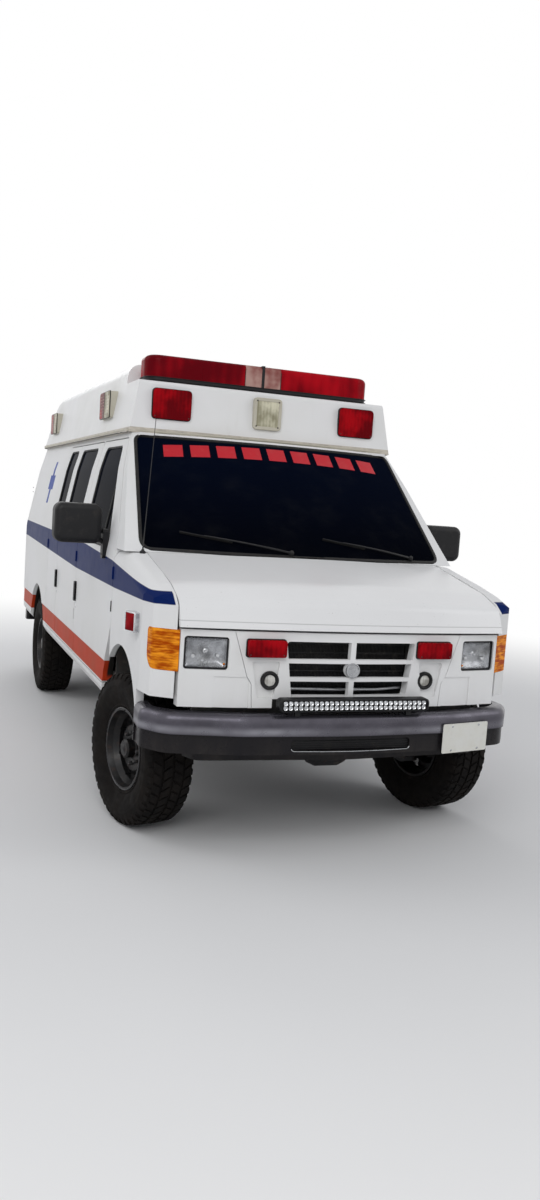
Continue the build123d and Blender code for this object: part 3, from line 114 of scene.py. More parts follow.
class Paint(Tree):
    """One procedural material; values are numbers, colours or sockets."""

    def __init__(self, name, **sockets):
        self.mat = bpy.data.materials.new(name)
        self.mat.use_nodes = True
        super().__init__(self.mat.node_tree)
        self.shader = self.tree.nodes["Principled BSDF"]
        self.place = self.node("ShaderNodeTexCoord").outputs["Object"]
        self.x, self.y, self.z = self.node("ShaderNodeSeparateXYZ", Vector=self.place).outputs
        for socket, value in sockets.items():
            self.put(socket.replace("_", " "), value)

    def put(self, socket, value):
        """Set or link a socket of the main shader."""
        self.join(self.shader.inputs[socket], value)

    def times(self, *parts):
        """Product of several values."""
        product = parts[0]
        for part in parts[1:]:
            product = self.math("MULTIPLY", product, part)
        return product

    def plus(self, a, b):
        return self.math("ADD", a, b)

    def most(self, a, b):
        return self.math("MAXIMUM", a, b)

    def off(self, value):
        """Distance from zero to either side."""
        return self.math("ABSOLUTE", value)

    def noise(self, scale, detail=4.0, rough=0.55, stretch=None):
        where = self.place
        if stretch:
            multiply = {"operation": "MULTIPLY"}
            where = self.node("ShaderNodeVectorMath", multiply, i0=where, i1=stretch).outputs[0]
        made = self.node("ShaderNodeTexNoise", Vector=where, Scale=scale, Detail=detail, Roughness=rough)
        return made.outputs["Fac"]

    def ramp(self, fac, low, high, a=0.0, b=1.0, smooth=True):
        """Map fac from low..high to a..b, clamped."""
        kind = {"interpolation_type": "SMOOTHSTEP" if smooth else "LINEAR"}
        return self.node("ShaderNodeMapRange", kind, Value=fac, i1=low, i2=high, i3=a, i4=b).outputs[0]

    def band(self, value, low, high, soft=0.002):
        """One between low and high, zero elsewhere; low and high may be sockets."""
        up = self.ramp(self.math("SUBTRACT", value, low), -soft, soft)
        down = self.ramp(self.math("SUBTRACT", value, high), -soft, soft)
        return self.times(up, self.math("SUBTRACT", 1.0, down))

    def mix(self, fac, a, b):
        return self.node("ShaderNodeMix", {"data_type": "RGBA"}, i0=fac, i6=a, i7=b).outputs[2]

    def bump(self, height, strength, distance):
        made = self.node("ShaderNodeBump", Strength=strength, Distance=distance, Height=height)
        self.put("Normal", made.outputs[0])


WHITE = (0.83, 0.83, 0.83)
OFF_WHITE = (0.80, 0.80, 0.79)
NAVY = (0.006, 0.018, 0.105)
RED_BAND = (0.52, 0.045, 0.012)
PLUS_BLUE = (0.05, 0.09, 0.36)
DUST = (0.34, 0.29, 0.23)
RUST = (0.17, 0.065, 0.03)
BLACK = (0.012, 0.012, 0.013)

# Edges of the blue stripe, in metres: (from, to, height there, height there), then rises in the same form
STRIPE_TOP = ((-2.446, -1.587, 1.299, 1.373), (-1.587, -0.734, 0.0, 0.034), (-0.734, 2.398, 0.0, 0.025))
STRIPE_LOW = ((-2.60, -1.70, 1.243, 1.228), (-0.4, 2.398, 0.0, 0.067))


def dirt(p, colour, low=0.5, high=1.0, most=0.26):
    """Road dust that thickens towards the ground, with streaks and spots."""
    height = p.ramp(p.z, low, high, 1.0, 0.0)
    streak = p.noise(5.0, 6, 0.65, (1, 1, 0.25))
    spots = p.noise(34.0, 3, 0.6)
    patch = p.times(p.ramp(streak, 0.34, 0.78), p.ramp(spots, 0.25, 0.7, 0.55, 1.0))
    amount = p.times(height, patch, most)
    return p.mix(amount, colour, DUST), amount


def stripes(p, colour):
    """Blue and red stripes and a plain plus on the sides and the rear."""
    sides = p.ramp(p.off(p.x), 0.893, 0.897)
    where = p.most(sides, p.ramp(p.y, 2.40, 2.44))
    edges = []
    for runs in (STRIPE_TOP, STRIPE_LOW):
        edge = p.ramp(p.y, *runs[0], False)
        for run in runs[1:]:
            edge = p.plus(edge, p.ramp(p.y, *run, False))
        edges.append(edge)
    blue = p.times(p.band(p.z, edges[1], edges[0]), where)
    scuff = p.times(p.ramp(p.noise(60, 5, 0.7), 0.62, 0.75), 0.25)
    colour = p.mix(blue, colour, p.mix(scuff, NAVY, (0.02, 0.04, 0.15)))
    plus = p.times(p.band(p.y, 1.500, 1.592), p.band(p.z, 1.62, 1.97))
    arm = p.times(p.band(p.y, 1.411, 1.680), p.band(p.z, 1.736, 1.855))
    plus = p.times(p.most(plus, arm), p.ramp(p.off(p.x), 0.70, 0.71))
    colour = p.mix(plus, colour, PLUS_BLUE)
    red = p.times(p.band(p.z, 0.663, 0.791), where, p.ramp(p.y, -1.56, -1.55))
    faded = p.mix(p.ramp(p.noise(3.0, 4), 0.35, 0.7), RED_BAND, (0.46, 0.055, 0.02))
    return p.mix(red, colour, faded)


def handles(p, colour):
    """Black door handles, which stand out of the sides and the rear door."""
    reach = p.band(p.z, 1.0, 1.15)
    colour = p.mix(p.times(p.ramp(p.off(p.x), 1.0085, 1.0090), reach), colour, BLACK)
    back = p.times(p.ramp(p.y, 2.6005, 2.601), reach, p.band(p.x, -0.09, -0.045))
    return p.mix(back, colour, BLACK)


def white_paint(name, striped=True):
    """White enamel with slight unevenness, faint dust, chips and dark wheel houses."""
    p = Paint(name, IOR=1.05)
    colour = p.mix(p.ramp(p.noise(1.6, 3), 0.3, 0.7), WHITE, OFF_WHITE)
    if striped:
        colour = stripes(p, colour)
    colour, amount = dirt(p, colour)
    if striped:
        colour = handles(p, colour)
    within = p.ramp(p.off(p.x), 0.972, 0.982, 1.0, 0.0)
    arches = p.most(p.band(p.y, -2.22, -1.47), p.band(p.y, 1.26, 2.22))
    colour = p.mix(p.times(within, arches, p.ramp(p.z, 0.98, 1.0, 1.0, 0.0)), colour, (0.022, 0.020, 0.018))
    chips = p.times(p.ramp(p.noise(150, 2, 0.5), 0.74, 0.77), p.ramp(p.z, 0.6, 0.95, 1.0, 0.0), 0.22)
    p.put("Base Color", p.mix(chips, colour, (0.40, 0.35, 0.30)))
    p.put("Roughness", p.plus(p.ramp(p.noise(9, 5), 0.3, 0.75, 0.28, 0.33), p.times(amount, 0.6)))
    p.bump(p.noise(2.2, 2), 0.06, 0.012)
    return p.mat


def hood_paint():
    """White enamel with painted shade along the pressed line above the hood's front edge."""
    p = Paint("hood_paint", Coat_Weight=0.06, Coat_Roughness=0.1, Specular_IOR_Level=0.3)
    colour = p.mix(p.ramp(p.noise(1.3, 3), 0.3, 0.7), WHITE, (0.80, 0.80, 0.80))
    # Painted shade: a darker line along the pressed crease; the bump below also sinks it.
    line = p.times(p.band(p.z, 1.1755, 1.1795, 0.0015), p.ramp(p.y, -2.60, -2.58, 1.0, 0.0))
    colour = p.mix(p.times(line, 0.55), colour, (0.30, 0.29, 0.29))
    chips = p.times(p.ramp(p.noise(120, 2), 0.72, 0.75), p.ramp(p.y, -2.65, -2.35, 0.6, 0.0))
    colour = p.mix(chips, colour, (0.28, 0.23, 0.19))
    grime = p.times(p.ramp(p.noise(4.5, 6, 0.7), 0.5, 0.85), 0.02)
    p.put("Base Color", p.mix(grime, colour, DUST))
    p.put("Roughness", p.ramp(p.noise(7, 5), 0.3, 0.75, 0.24, 0.27))
    p.bump(p.plus(p.noise(1.9, 2), p.times(line, -0.4)), 0.05, 0.012)
    return p.mat


def roof_gelcoat():
    """White moulded roof with a stained, sealed lip and rain streaks."""
    p = Paint("roof_gelcoat", Coat_Weight=0.05, Coat_Roughness=0.2, Specular_IOR_Level=0.2)
    colour = p.mix(p.ramp(p.noise(1.4, 3), 0.3, 0.7), WHITE, (0.79, 0.79, 0.775))
    rain = p.ramp(p.noise(9, 6, 0.7, (1, 1, 0.12)), 0.56, 0.82)
    colour = p.mix(p.times(rain, p.ramp(p.z, 2.12, 2.45, 0.26, 0.03)), colour, (0.40, 0.36, 0.28))
    lip = p.ramp(p.z, 2.142, 2.146, 1.0, 0.0)
    stain = p.ramp(p.noise(16, 6, 0.7, (1, 1, 3)), 0.35, 0.7)
    stain = p.mix(stain, (0.56, 0.50, 0.40), (0.30, 0.26, 0.20))
    colour = p.mix(p.times(lip, 0.8), colour, stain)
    top = p.times(p.ramp(p.z, 2.55, 2.59), p.ramp(p.noise(6, 6, 0.7), 0.4, 0.75, 0.1, 0.45))
    p.put("Base Color", p.mix(top, colour, (0.45, 0.42, 0.36)))
    p.put("Roughness", p.ramp(p.noise(8, 5), 0.3, 0.75, 0.3, 0.48))
    p.bump(p.plus(p.noise(3.0, 3), p.times(p.noise(130, 3), 0.02)), 0.1, 0.01)
    return p.mat


def dark_glass(name, low=(0.0015, 0.002, 0.004), high=(0.002, 0.004, 0.012), clear=0.975):
    """Nearly black tint, with faint dust; a little light still passes."""
    p = Paint(name, IOR=1.02, Alpha=clear)
    shade = p.mix(p.ramp(p.z, 1.4, 2.1), low, high)
    film = p.times(p.ramp(p.noise(5, 6, 0.65), 0.45, 0.8), 0.012)
    p.put("Base Color", p.mix(film, shade, (0.3, 0.28, 0.25)))
    p.put("Roughness", p.ramp(p.noise(7, 5), 0.35, 0.8, 0.03, 0.12))
    return p.mat


def plastic(name, colour, light, rough=(0.45, 0.62), grain=900, depth=0.16, fade=0.5, dusty=0.25):
    """Moulded plastic with fine grain, faded and dusty in patches."""
    p = Paint(name, Specular_IOR_Level=0.25)
    patch = p.ramp(p.noise(7, 5, 0.65), 0.35, 0.75)
    tone = p.mix(p.times(patch, fade), colour, light)
    tone = p.mix(p.times(p.ramp(p.noise(23, 6, 0.7), 0.5, 0.8), dusty), tone, DUST)
    p.put("Base Color", tone)
    p.put("Roughness", p.ramp(patch, 0, 1, *rough))
    p.bump(p.noise(grain, 2), depth, 0.0006)
    return p.mat


def lens(name, deep, bright, pitch, spread, upright=False, glow=(0.38, 0.68), streak=(1, 1, 1)):
    """Moulded lens with ribs and uneven light from the reflector behind."""
    p = Paint(name, Roughness=0.16, IOR=1.5, Coat_Weight=0.03, Coat_Roughness=0.06, Specular_IOR_Level=0.02)
    ribs = p.math("SINE", p.times(p.z if upright else p.x, pitch))
    light = p.noise(spread, 3, 0.5, streak)
    fac = p.ramp(p.plus(light, p.times(ribs, 0.02)), *glow)
    p.put("Base Color", p.mix(fac, deep, bright))
    p.bump(ribs, 0.3, 0.0012)
    return p.mat


def metal(name, colour, rough, scale, rust=0.0, dust=0.15, metallic=1.0):
    """Bare or painted metal with uneven polish, dust and optional rust."""
    p = Paint(name, Metallic=metallic)
    tone = p.mix(p.ramp(p.noise(scale, 5, 0.65), 0.3, 0.75), colour, tuple(c * 0.7 for c in colour))
    tone = p.mix(p.times(p.ramp(p.noise(11, 6, 0.7), 0.5, 0.85), dust), tone, DUST)
    if rust:
        tone = p.mix(p.times(p.ramp(p.noise(19, 7, 0.75), 0.52, 0.68), rust), tone, RUST)
    p.put("Base Color", tone)
    p.put("Roughness", p.ramp(p.noise(scale * 0.7, 4), 0.3, 0.75, *rough))
    p.bump(p.noise(scale * 6, 4), 0.12, 0.001)
    return p.mat


def underside(name, colour, rust=0.3, metallic=0.2):
    """Dull metal under the body, dusty and rusty."""
    return metal(name, colour, (0.5, 0.75), 14, rust, 0.5, metallic)


def bumper_paint():
    """Silver grey enamel above a dark lower half, with scuffs and a painted highlight band along the upper part.
    """
    p = Paint("bumper_paint", Coat_Weight=0.05, Coat_Roughness=0.15, Specular_IOR_Level=0.12)
    upper_tone_and_highlight = p.mix(p.ramp(p.noise(6, 5, 0.6), 0.3, 0.7), (0.105, 0.100, 0.120), (0.070, 0.066, 0.080))
    # Painted highlight: a lighter band along the upper face, where light from above falls on its rounding.
    painted_highlight = p.times(p.band(p.z, 0.648, 0.676, 0.014), p.ramp(p.noise(3, 3), 0.4, 0.65, 0.1, 0.6))
    upper_tone_and_highlight = p.mix(painted_highlight, upper_tone_and_highlight, (0.40, 0.40, 0.44))
    colour = p.mix(p.ramp(p.z, 0.636, 0.646), (0.012, 0.011, 0.013), upper_tone_and_highlight)
    scuff = p.times(p.ramp(p.noise(30, 7, 0.75, (1, 1, 4)), 0.62, 0.76), 0.16)
    colour = p.mix(scuff, colour, (0.20, 0.19, 0.19))
    p.put("Metallic", p.ramp(p.z, 0.636, 0.646, 0.1, 0.7))
    p.put("Base Color", dirt(p, colour, 0.45, 0.7, 0.10)[0])
    p.put("Roughness", p.ramp(p.noise(12, 6, 0.7), 0.3, 0.75, 0.24, 0.42))
    p.bump(p.noise(50, 5), 0.08, 0.003)
    return p.mat


def tyre_rubber():
    """Black rubber with brown dust in patches and fine spots."""
    p = Paint("tyre_rubber", Specular_IOR_Level=0.10)
    dust = p.times(p.ramp(p.noise(9, 7, 0.7), 0.3, 0.8), 0.35)
    colour = p.mix(dust, (0.006, 0.0055, 0.0055), (0.030, 0.023, 0.018))
    fine = p.times(p.ramp(p.noise(90, 4, 0.7), 0.5, 0.8), 0.2)
    p.put("Base Color", p.mix(fine, colour, (0.045, 0.036, 0.030)))
    p.put("Roughness", p.ramp(p.noise(20, 4), 0.3, 0.7, 0.72, 0.92))
    p.bump(p.noise(420, 4), 0.25, 0.0012)
    return p.mat


def vinyl(name, colour, light):
    """Leather-like vinyl with a pebble grain."""
    p = Paint(name, Sheen_Weight=0.15, Sheen_Roughness=0.5)
    patch = p.ramp(p.noise(6, 4), 0.3, 0.75)
    p.put("Base Color", p.mix(p.times(patch, 0.6), colour, light))
    cells = p.node("ShaderNodeTexVoronoi", {"feature": "DISTANCE_TO_EDGE"}, Vector=p.place, Scale=420.0)
    p.put("Roughness", p.ramp(patch, 0, 1, 0.42, 0.6))
    p.bump(p.ramp(cells.outputs["Distance"], 0.0, 0.18), 0.3, 0.0007)
    return p.mat


def clear_flutes():
    """Clear lens with upright flutes; what is behind it shows through."""
    p = Paint("fluted_lens", Roughness=0.07, IOR=1.3, Alpha=0.16)
    ribs = p.math("SINE", p.times(p.x, 420.0))
    film = p.ramp(p.noise(9, 5, 0.6), 0.35, 0.75)
    p.put("Base Color", p.mix(film, (0.72, 0.74, 0.78), (0.55, 0.55, 0.55)))
    p.bump(p.plus(ribs, p.times(p.noise(40, 3), 2.0)), 0.4, 0.0015)
    return p.mat


def reflector():
    """Bright bowl with painted reflection: dark and bright patches stand for the pattern of the lens in front of
    it.
    """
    p = Paint("lamp_reflector", Metallic=1.0)
    # Painted reflection: the bowl's colour goes from near black to bright in patches.
    cells = p.node("ShaderNodeTexVoronoi", Vector=p.place, Scale=26.0).outputs["Distance"]
    patch = p.ramp(p.plus(p.noise(11, 3, 0.5), p.times(cells, 0.3)), 0.42, 0.78)
    p.put("Base Color", p.mix(patch, (0.012, 0.012, 0.014), (0.34, 0.35, 0.37)))
    p.put("Roughness", p.ramp(p.noise(30, 3), 0.3, 0.7, 0.08, 0.3))
    p.bump(p.noise(34, 3, 0.5), 0.6, 0.006)
    return p.mat


MATS = {
    "body": white_paint("body_paint"),
    "plain": white_paint("body_paint_plain", False),
    "hood": hood_paint(),
    "roof": roof_gelcoat(),
    "fascia": white_paint("fascia_paint", False),
    "glass": dark_glass("tinted_glass"),
    "bumper": bumper_paint(),
    "black": plastic("black_plastic", (0.005, 0.005, 0.006), (0.015, 0.015, 0.017), dusty=0.05),
    "rubber": plastic("black_rubber", (0.005,) * 3, (0.014, 0.013, 0.013), (0.55, 0.75), 500, 0.12, 0.6, 0.06),
    "grey": plastic("grey_plastic", (0.10, 0.10, 0.105), (0.16, 0.16, 0.16)),
    "trim": plastic("cab_trim", (0.05, 0.05, 0.055), (0.09, 0.09, 0.095)),
    "laminate": plastic("pale_laminate", (0.6, 0.6, 0.57), (0.66, 0.65, 0.61), (0.3, 0.45), 90, 0.05, 0.8, 0.1),
    "amber": lens("amber_lens", (0.42, 0.06, 0.001), (1, 0.36, 0.02), 520, 12, True, (0.36, 0.7), (1, 1, 4)),
    "red": lens("red_lens", (0.14, 0.001, 0.004), (0.42, 0.003, 0.008), 260, 7),
    "bar_red": lens("light_bar_lens", (0.13, 0.001, 0.005), (0.45, 0.004, 0.011), 90, 2.4, glow=(0.40, 0.66)),
    "bar_clear": lens("light_bar_centre", (0.22, 0.05, 0.045), (0.48, 0.30, 0.26), 120, 7),
    "clear": lens("clear_lens", (0.30, 0.28, 0.19), (0.72, 0.69, 0.53), 300, 9),
    "driving": lens("driving_lens", (0.34, 0.33, 0.30), (0.75, 0.74, 0.70), 420, 14),
    "led": lens("led_lens", (0.45, 0.46, 0.48), (0.85, 0.86, 0.88), 300, 30),
    "silver_lens": lens("silver_lens", (0.22, 0.22, 0.24), (0.55, 0.56, 0.58), 300, 9, True),
    "fluted": clear_flutes(),
    "reflector": reflector(),
    "chrome": metal("bright_metal", (0.72, 0.73, 0.75), (0.08, 0.18), 25, 0.0, 0.08),
    "alloy": metal("grey_alloy", (0.42, 0.43, 0.45), (0.25, 0.4), 30),
    "mirror": metal("mirror_glass", (0.80, 0.82, 0.84), (0.02, 0.05), 6, 0.0, 0.02),
    "rim": metal("rim_paint", (0.010, 0.010, 0.011), (0.3, 0.45), 22, 0.12, 0.1, 0.5),
    "rim_edge": metal("rim_edge", (0.050, 0.050, 0.054), (0.2, 0.34), 30, 0.1, 0.1, 0.8),
    "steel": underside("chassis_steel", (0.030, 0.030, 0.032), 0.35),
    "underbody": underside("underbody_paint", (0.055, 0.054, 0.052), 0.15, 0.0),
    "cast": underside("cast_metal", (0.12, 0.115, 0.11), 0.35, 0.6),
    "exhaust": underside("exhaust_steel", (0.26, 0.23, 0.20), 0.85, 0.9),
    "tyre": tyre_rubber(),
    "vinyl": vinyl("seat_vinyl", (0.045, 0.045, 0.05), (0.085, 0.085, 0.09)),
    "bench": vinyl("bench_vinyl", (0.03, 0.06, 0.16), (0.05, 0.09, 0.21)),
    "red_film": plastic("red_film", (0.52, 0.007, 0.018), (0.58, 0.012, 0.024), (0.35, 0.5), 200, 0.02, dusty=0.1),
    "plate": plastic("plate_enamel", (0.74, 0.74, 0.7), (0.68, 0.66, 0.58), (0.3, 0.45), 120, 0.05, 0.7, 0.2),
    "core": plastic("radiator_core", (0.018, 0.018, 0.019), (0.05, 0.05, 0.052)),
    "beige": plastic("beige_frame", (0.52, 0.49, 0.40), (0.60, 0.57, 0.48)),
    "screen": dark_glass("smoked_acrylic", (0.03, 0.03, 0.03), (0.05, 0.05, 0.05), 0.6),
}

# Materials of the CAD nodes; a star stands for left and right
NODE_MATS = {
    "body": "body_side_* front_fenders rear_frame front_door_* cargo_door_front cargo_door_rear rear_door_*",
    "plain": "cab_frame",
    "hood": "hood",
    "roof": "raised_roof",
    "fascia": "front_fascia",
    "bumper": "front_bumper rear_bumper",
    "glass": "windscreen front_door_glass_* cargo_door_front_glass cargo_door_rear_glass rear_door_glass_*",
    "black": "mirror_* light_bar_base wipers_and_mast led_bar",
    "amber": "corner_lamps",
    "red": "grille_lamps roof_lamps_red fender_markers tail_lamps",
    "clear": "roof_lamps_clear headlamps",
    "bar_red": "light_bar_red",
    "bar_clear": "light_bar_clear",
    "underbody": "floor_pan front_aprons",
    "steel": "chassis_frame front_axle rear_axle leaf_springs knuckle_* tie_rod fuel_tank",
    "cast": "powertrain",
    "exhaust": "exhaust",
    "laminate": "interior_fittings",
    "trim": "dashboard",
    "vinyl": "seats",
    "rim": "rim_front_* rim_rear_*",
    "tyre": "tyre_front_* tyre_rear_*",
}
for mat, patterns in NODE_MATS.items():
    for pattern in patterns.split():
        for name in sorted({pattern.replace("*", hand) for hand in ("left", "right")}):
            nodes[name].data.materials.clear()
            nodes[name].data.materials.append(MATS[mat])


# Shapes: each is a pair of points and faces
def rounded_box(lo, hi, radius, segments):
    """Box between two corners with rounded edges."""
    work = bmesh.new()
    bmesh.ops.create_cube(work, size=1)
    size = Vector(hi) - Vector(lo)
    mid = (Vector(hi) + Vector(lo)) / 2
    for v in work.verts:
        v.co = Vector((v.co.x * size.x, v.co.y * size.y, v.co.z * size.z)) + mid
    radius = min(radius, min(size) * 0.48)
    bmesh.ops.bevel(work, geom=work.edges[:], offset=radius, segments=segments, profile=0.5, affect="EDGES")
    verts = [v.co.copy() for v in work.verts]
    work.verts.index_update()
    faces = [tuple(v.index for v in f.verts) for f in work.faces]
    work.free()
    return verts, faces


def lathe(profile, steps, close):
    """Turn a profile of (radius, height) about the local Z axis."""
    verts = []
    faces = []
    n = len(profile)
    for i in range(steps):
        a = 2 * pi * i / steps
        verts.extend([(r * cos(a), r * sin(a), h) for r, h in profile])
        k = (i + 1) % steps
        for j in range(n if close else n - 1):
            m = (j + 1) % n
            faces.append((i * n + j, k * n + j, k * n + m, i * n + m))
    return verts, faces


def tube(points, radius, steps, closed=False):
    """Round tube along points; radius is one number or one for each point."""
    count = len(points)
    radii = radius if isinstance(radius, list) else [radius] * count
    loops = []
    side = None
    for i, p in enumerate(points):
        before = points[i - 1] if i or closed else p
        after = points[(i + 1) % count] if i < count - 1 or closed else p
        along = (after - before).normalized()
        if side is None:
            side = along.orthogonal().normalized()
        side = (side - along * side.dot(along)).normalized()
        other = along.cross(side)
        angles = [2 * pi * k / steps for k in range(steps)]
        loops.append([p + (side * cos(a) + other * sin(a)) * radii[i] for a in angles])
    return rings(loops, closed)


def rounded_outline(points, radius, steps=6):
    """Closed outline in two dimensions with rounded corners."""
    out = []
    count = len(points)
    radii = radius if isinstance(radius, list) else [radius] * count
    for i in range(count):
        p = Vector(points[i])
        a = Vector(points[i - 1]) - p
        b = Vector(points[(i + 1) % count]) - p
        back = min(radii[i] / max(0.05, tan(a.angle(b) / 2)), a.length * 0.49, b.length * 0.49)
        start = p + a.normalized() * back
        end = p + b.normalized() * back
        for k in range(steps + 1):
            t = k / steps
            out.append(start * (1 - t) ** 2 + p * 2 * t * (1 - t) + end * t ** 2)
    return out


def divide(points, length):
    """Add points to a closed outline so that no run is longer than length."""
    out = []
    for i, a in enumerate(points):
        b = points[(i + 1) % len(points)]
        parts = max(1, ceil((b - a).length / length))
        out.extend([a.lerp(b, k / parts) for k in range(parts)])
    return out


def rect_loop(wide, high, radius, depth, steps=5, mid=(0, 0)):
    """Rounded rectangle in a face, as points with a depth."""
    a, b = wide / 2, high / 2
    flat = rounded_outline([(-a, -b), (a, -b), (a, b), (-a, b)], radius, steps)
    return [Vector((p.x + mid[0], p.y + mid[1], depth)) for p in flat]


def rings(loops, close=False):
    """Faces between loops with as many points each, closed to a ring or capped at both ends."""
    n = len(loops[0])
    count = len(loops)
    faces = []
    for i in range(count if close else count - 1):
        j = (i + 1) % count
        for k in range(n):
            m = (k + 1) % n
            faces.append((i * n + k, i * n + m, j * n + m, j * n + k))
    if not close:
        faces.append(tuple(range(n))[::-1])
        faces.append(tuple((count - 1) * n + k for k in range(n)))
    return [p for loop in loops for p in loop], faces


def slab(rows, steps=5, mid=(0, 0)):
    """Solid in a face through rounded rectangles, each (wide, high, radius, depth)."""
    return rings([rect_loop(*row, steps, mid) for row in rows])


def frame_ring(wide, high, radius, width, low, top, edge=1.2):
    """Closed rectangular ring with softened edges, in a face."""
    outer = (wide, high, radius)
    inner = (wide - 2 * width, high - 2 * width, max(2.0, radius - width))
    soft = (wide - 2 * edge, high - 2 * edge, max(1.0, radius - edge))
    soft_in = (inner[0] + 2 * edge, inner[1] + 2 * edge, inner[2] + edge)
    below = top - edge
    levels = [(outer, low), (outer, below), (soft, top), (soft_in, top), (inner, below), (inner, low)]
    return rings([rect_loop(*size, depth) for size, depth in levels], True)


def dome(wide, high, radius, depth, rise, thick=2.0):
    """Bulged lens in a face, closed at the back."""
    levels = [(s, depth + rise * (1 - s * s)) for s in (0.04, 0.3, 0.6, 0.86, 1.0)]
    levels += [(s, depth - thick + rise * (1 - s * s)) for s in (1.0, 0.86, 0.6, 0.3, 0.04)]
    return rings([rect_loop(wide * s, high * s, radius * s, level) for s, level in levels])


STRIP = [(-0.5, 0.0), (-0.42, 0.8), (-0.2, 1.0), (0.2, 1.0), (0.42, 0.8), (0.5, 0.0)]


def strip(rows, width, height, closed=True, shape=STRIP):
    """Raised strip along rows of (point, normal)."""
    verts = []
    faces = []
    count = len(rows)
    n = len(shape)
    for i, (p, normal) in enumerate(rows):
        before = rows[i - 1][0] if i or closed else p
        after = rows[(i + 1) % count][0] if i < count - 1 or closed else p
        side = (after - before).normalized().cross(normal).normalized()
        for a, h in shape:
            verts.append(p + side * a * width + normal * (h * height - 0.0006))
    for i in range(count if closed else count - 1):
        j = (i + 1) % count
        for k in range(n - 1):
            faces.append((i * n + k, i * n + k + 1, j * n + k + 1, j * n + k))
    return verts, faces


def skin(thing):
    """Tree of an object's surface, for laying trim on it."""
    points = [v.co.copy() for v in thing.data.vertices]
    return BVHTree.FromPolygons(points, [tuple(p.vertices) for p in thing.data.polygons])


def lay(tree, start, direction, reach=3.0):
    """Where a line from start meets the skin, and the skin's normal there."""
    spot, normal, index, distance = tree.ray_cast(start, Vector(direction), reach)
    if spot is not None and normal.dot(Vector(direction)) > 0:
        normal = -normal
    return spot, normal


def laid(tree, starts, direction):
    """Rows of (point, normal) where lines from the starts meet the skin; misses are left out."""
    rows = [lay(tree, start, direction) for start in starts]
    return [row for row in rows if row[0] is not None]


# Faces: matrices for what is drawn in millimetres across, up and out of a surface
def facing(origin, across, up, out):
    turn = Matrix([Vector(v).normalized() / 1000 for v in (across, up, out)]).transposed().to_4x4()
    return Matrix.Translation(origin) @ turn


def front_face(x, y, z, side=1):
    return facing(at(x, y, z), (side, 0, 0), UP, (0, -1, 0))


def rear_face(x, y, z, side=1):
    return facing(at(x, y, z), (-side, 0, 0), UP, (0, 1, 0))


def side_face(x, y, z, side):
    return facing(at(x, y, z), (0, side, 0), UP, (side, 0, 0))


def top_face(x, y, z):
    return facing(at(x, y, z), (1, 0, 0), (0, 1, 0), UP)


def shift(face, across, up, out):
    """The same face moved to another place on it."""
    return face @ Matrix.Translation((across, up, out))


def corners(across, up, out):
    """Four places about the middle of a face."""
    return [(a * across, b * up, out) for a in (-1, 1) for b in (-1, 1)]


class Piece:
    """Collects faces of several materials under one piece name."""

    def __init__(self, name, body="root"):
        self.name = name
        self.body = body
        self.verts = []
        self.faces = []
        self.slots = []
        self.smooth = []
        self.mats = []

    def put(self, shape, mat, place=None, smooth=True):
        """Add a shape; place is a matrix that its points go through first."""
        verts, faces = shape
        if mat not in self.mats:
            self.mats.append(mat)
        start = len(self.verts)
        points = [Vector(v) for v in verts]
        self.verts.extend(points if place is None else [place @ p for p in points])
        self.faces.extend([tuple(i + start for i in f) for f in faces])
        self.slots.extend([self.mats.index(mat)] * len(faces))
        self.smooth.extend([smooth] * len(faces))

    def box(self, lo, hi, radius, mat, place=None, smooth=True, segments=2):
        """Rounded box between two corners in millimetres, or in the units of its place."""
        if place is None:
            lo, hi, radius = at(*lo), at(*hi), radius / 1000
        self.put(rounded_box(lo, hi, radius, segments), mat, place, smooth)

    def turned(self, profile, steps, mat, place, smooth=True, close=False):
        self.put(lathe(profile, steps, close), mat, place, smooth)

    def pipe(self, points, radius, steps, mat, closed=False):
        """Round tube along places of the model, in millimetres."""
        self.put(tube([at(*p) for p in points], radius / 1000, steps, closed), mat)

    def bolts(self, radius, high, face, spots, mat="steel"):
        """Small domed screw heads at places (across, up, out) of a face."""
        head = [(radius, 0), (radius, high * 0.4), (radius * 0.7, high), (radius * 0.2, high)]
        head.append((0.01, high * 0.6))
        for spot in spots:
            self.turned(head, 10, mat, shift(face, *spot))

    def done(self, *replaces):
        """Make the object, join it to its body and hide the nodes it replaces."""
        mesh = bpy.data.meshes.new(self.name)
        mesh.from_pydata([tuple(v) for v in self.verts], [], self.faces)
        for mat in self.mats:
            mesh.materials.append(MATS[mat])
        mesh.polygons.foreach_set("material_index", self.slots)
        mesh.polygons.foreach_set("use_smooth", self.smooth)
        work = bmesh.new()
        work.from_mesh(mesh)
        bmesh.ops.remove_doubles(work, verts=work.verts, dist=1e-6)
        bmesh.ops.recalc_face_normals(work, faces=work.faces)
        work.to_mesh(mesh)
        work.free()
        mesh.set_sharp_from_angle(angle=radians(38))
        made = bpy.data.objects.new(self.name, mesh)
        scene.collection.objects.link(made)
        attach(made, self.body)
        if replaces:
            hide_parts(*replaces)


# The nose's front face slopes back a little to either side, and more steeply outside NOSE_BREAK.
NOSE_BREAK, NOSE_SLOPE, NOSE_FLARE = 600, 0.0433, 0.169


def on_nose(x, z, side):
    """Face matrix on the nose, mirrored for the other side."""
    start, base, slope = (NOSE_BREAK, -700, NOSE_FLARE) if x >= NOSE_BREAK else (0, -726, NOSE_SLOPE)
    return facing(at(side * x, base + slope * (x - start), z), (side, slope, 0), UP, (side * slope, -1, 0))


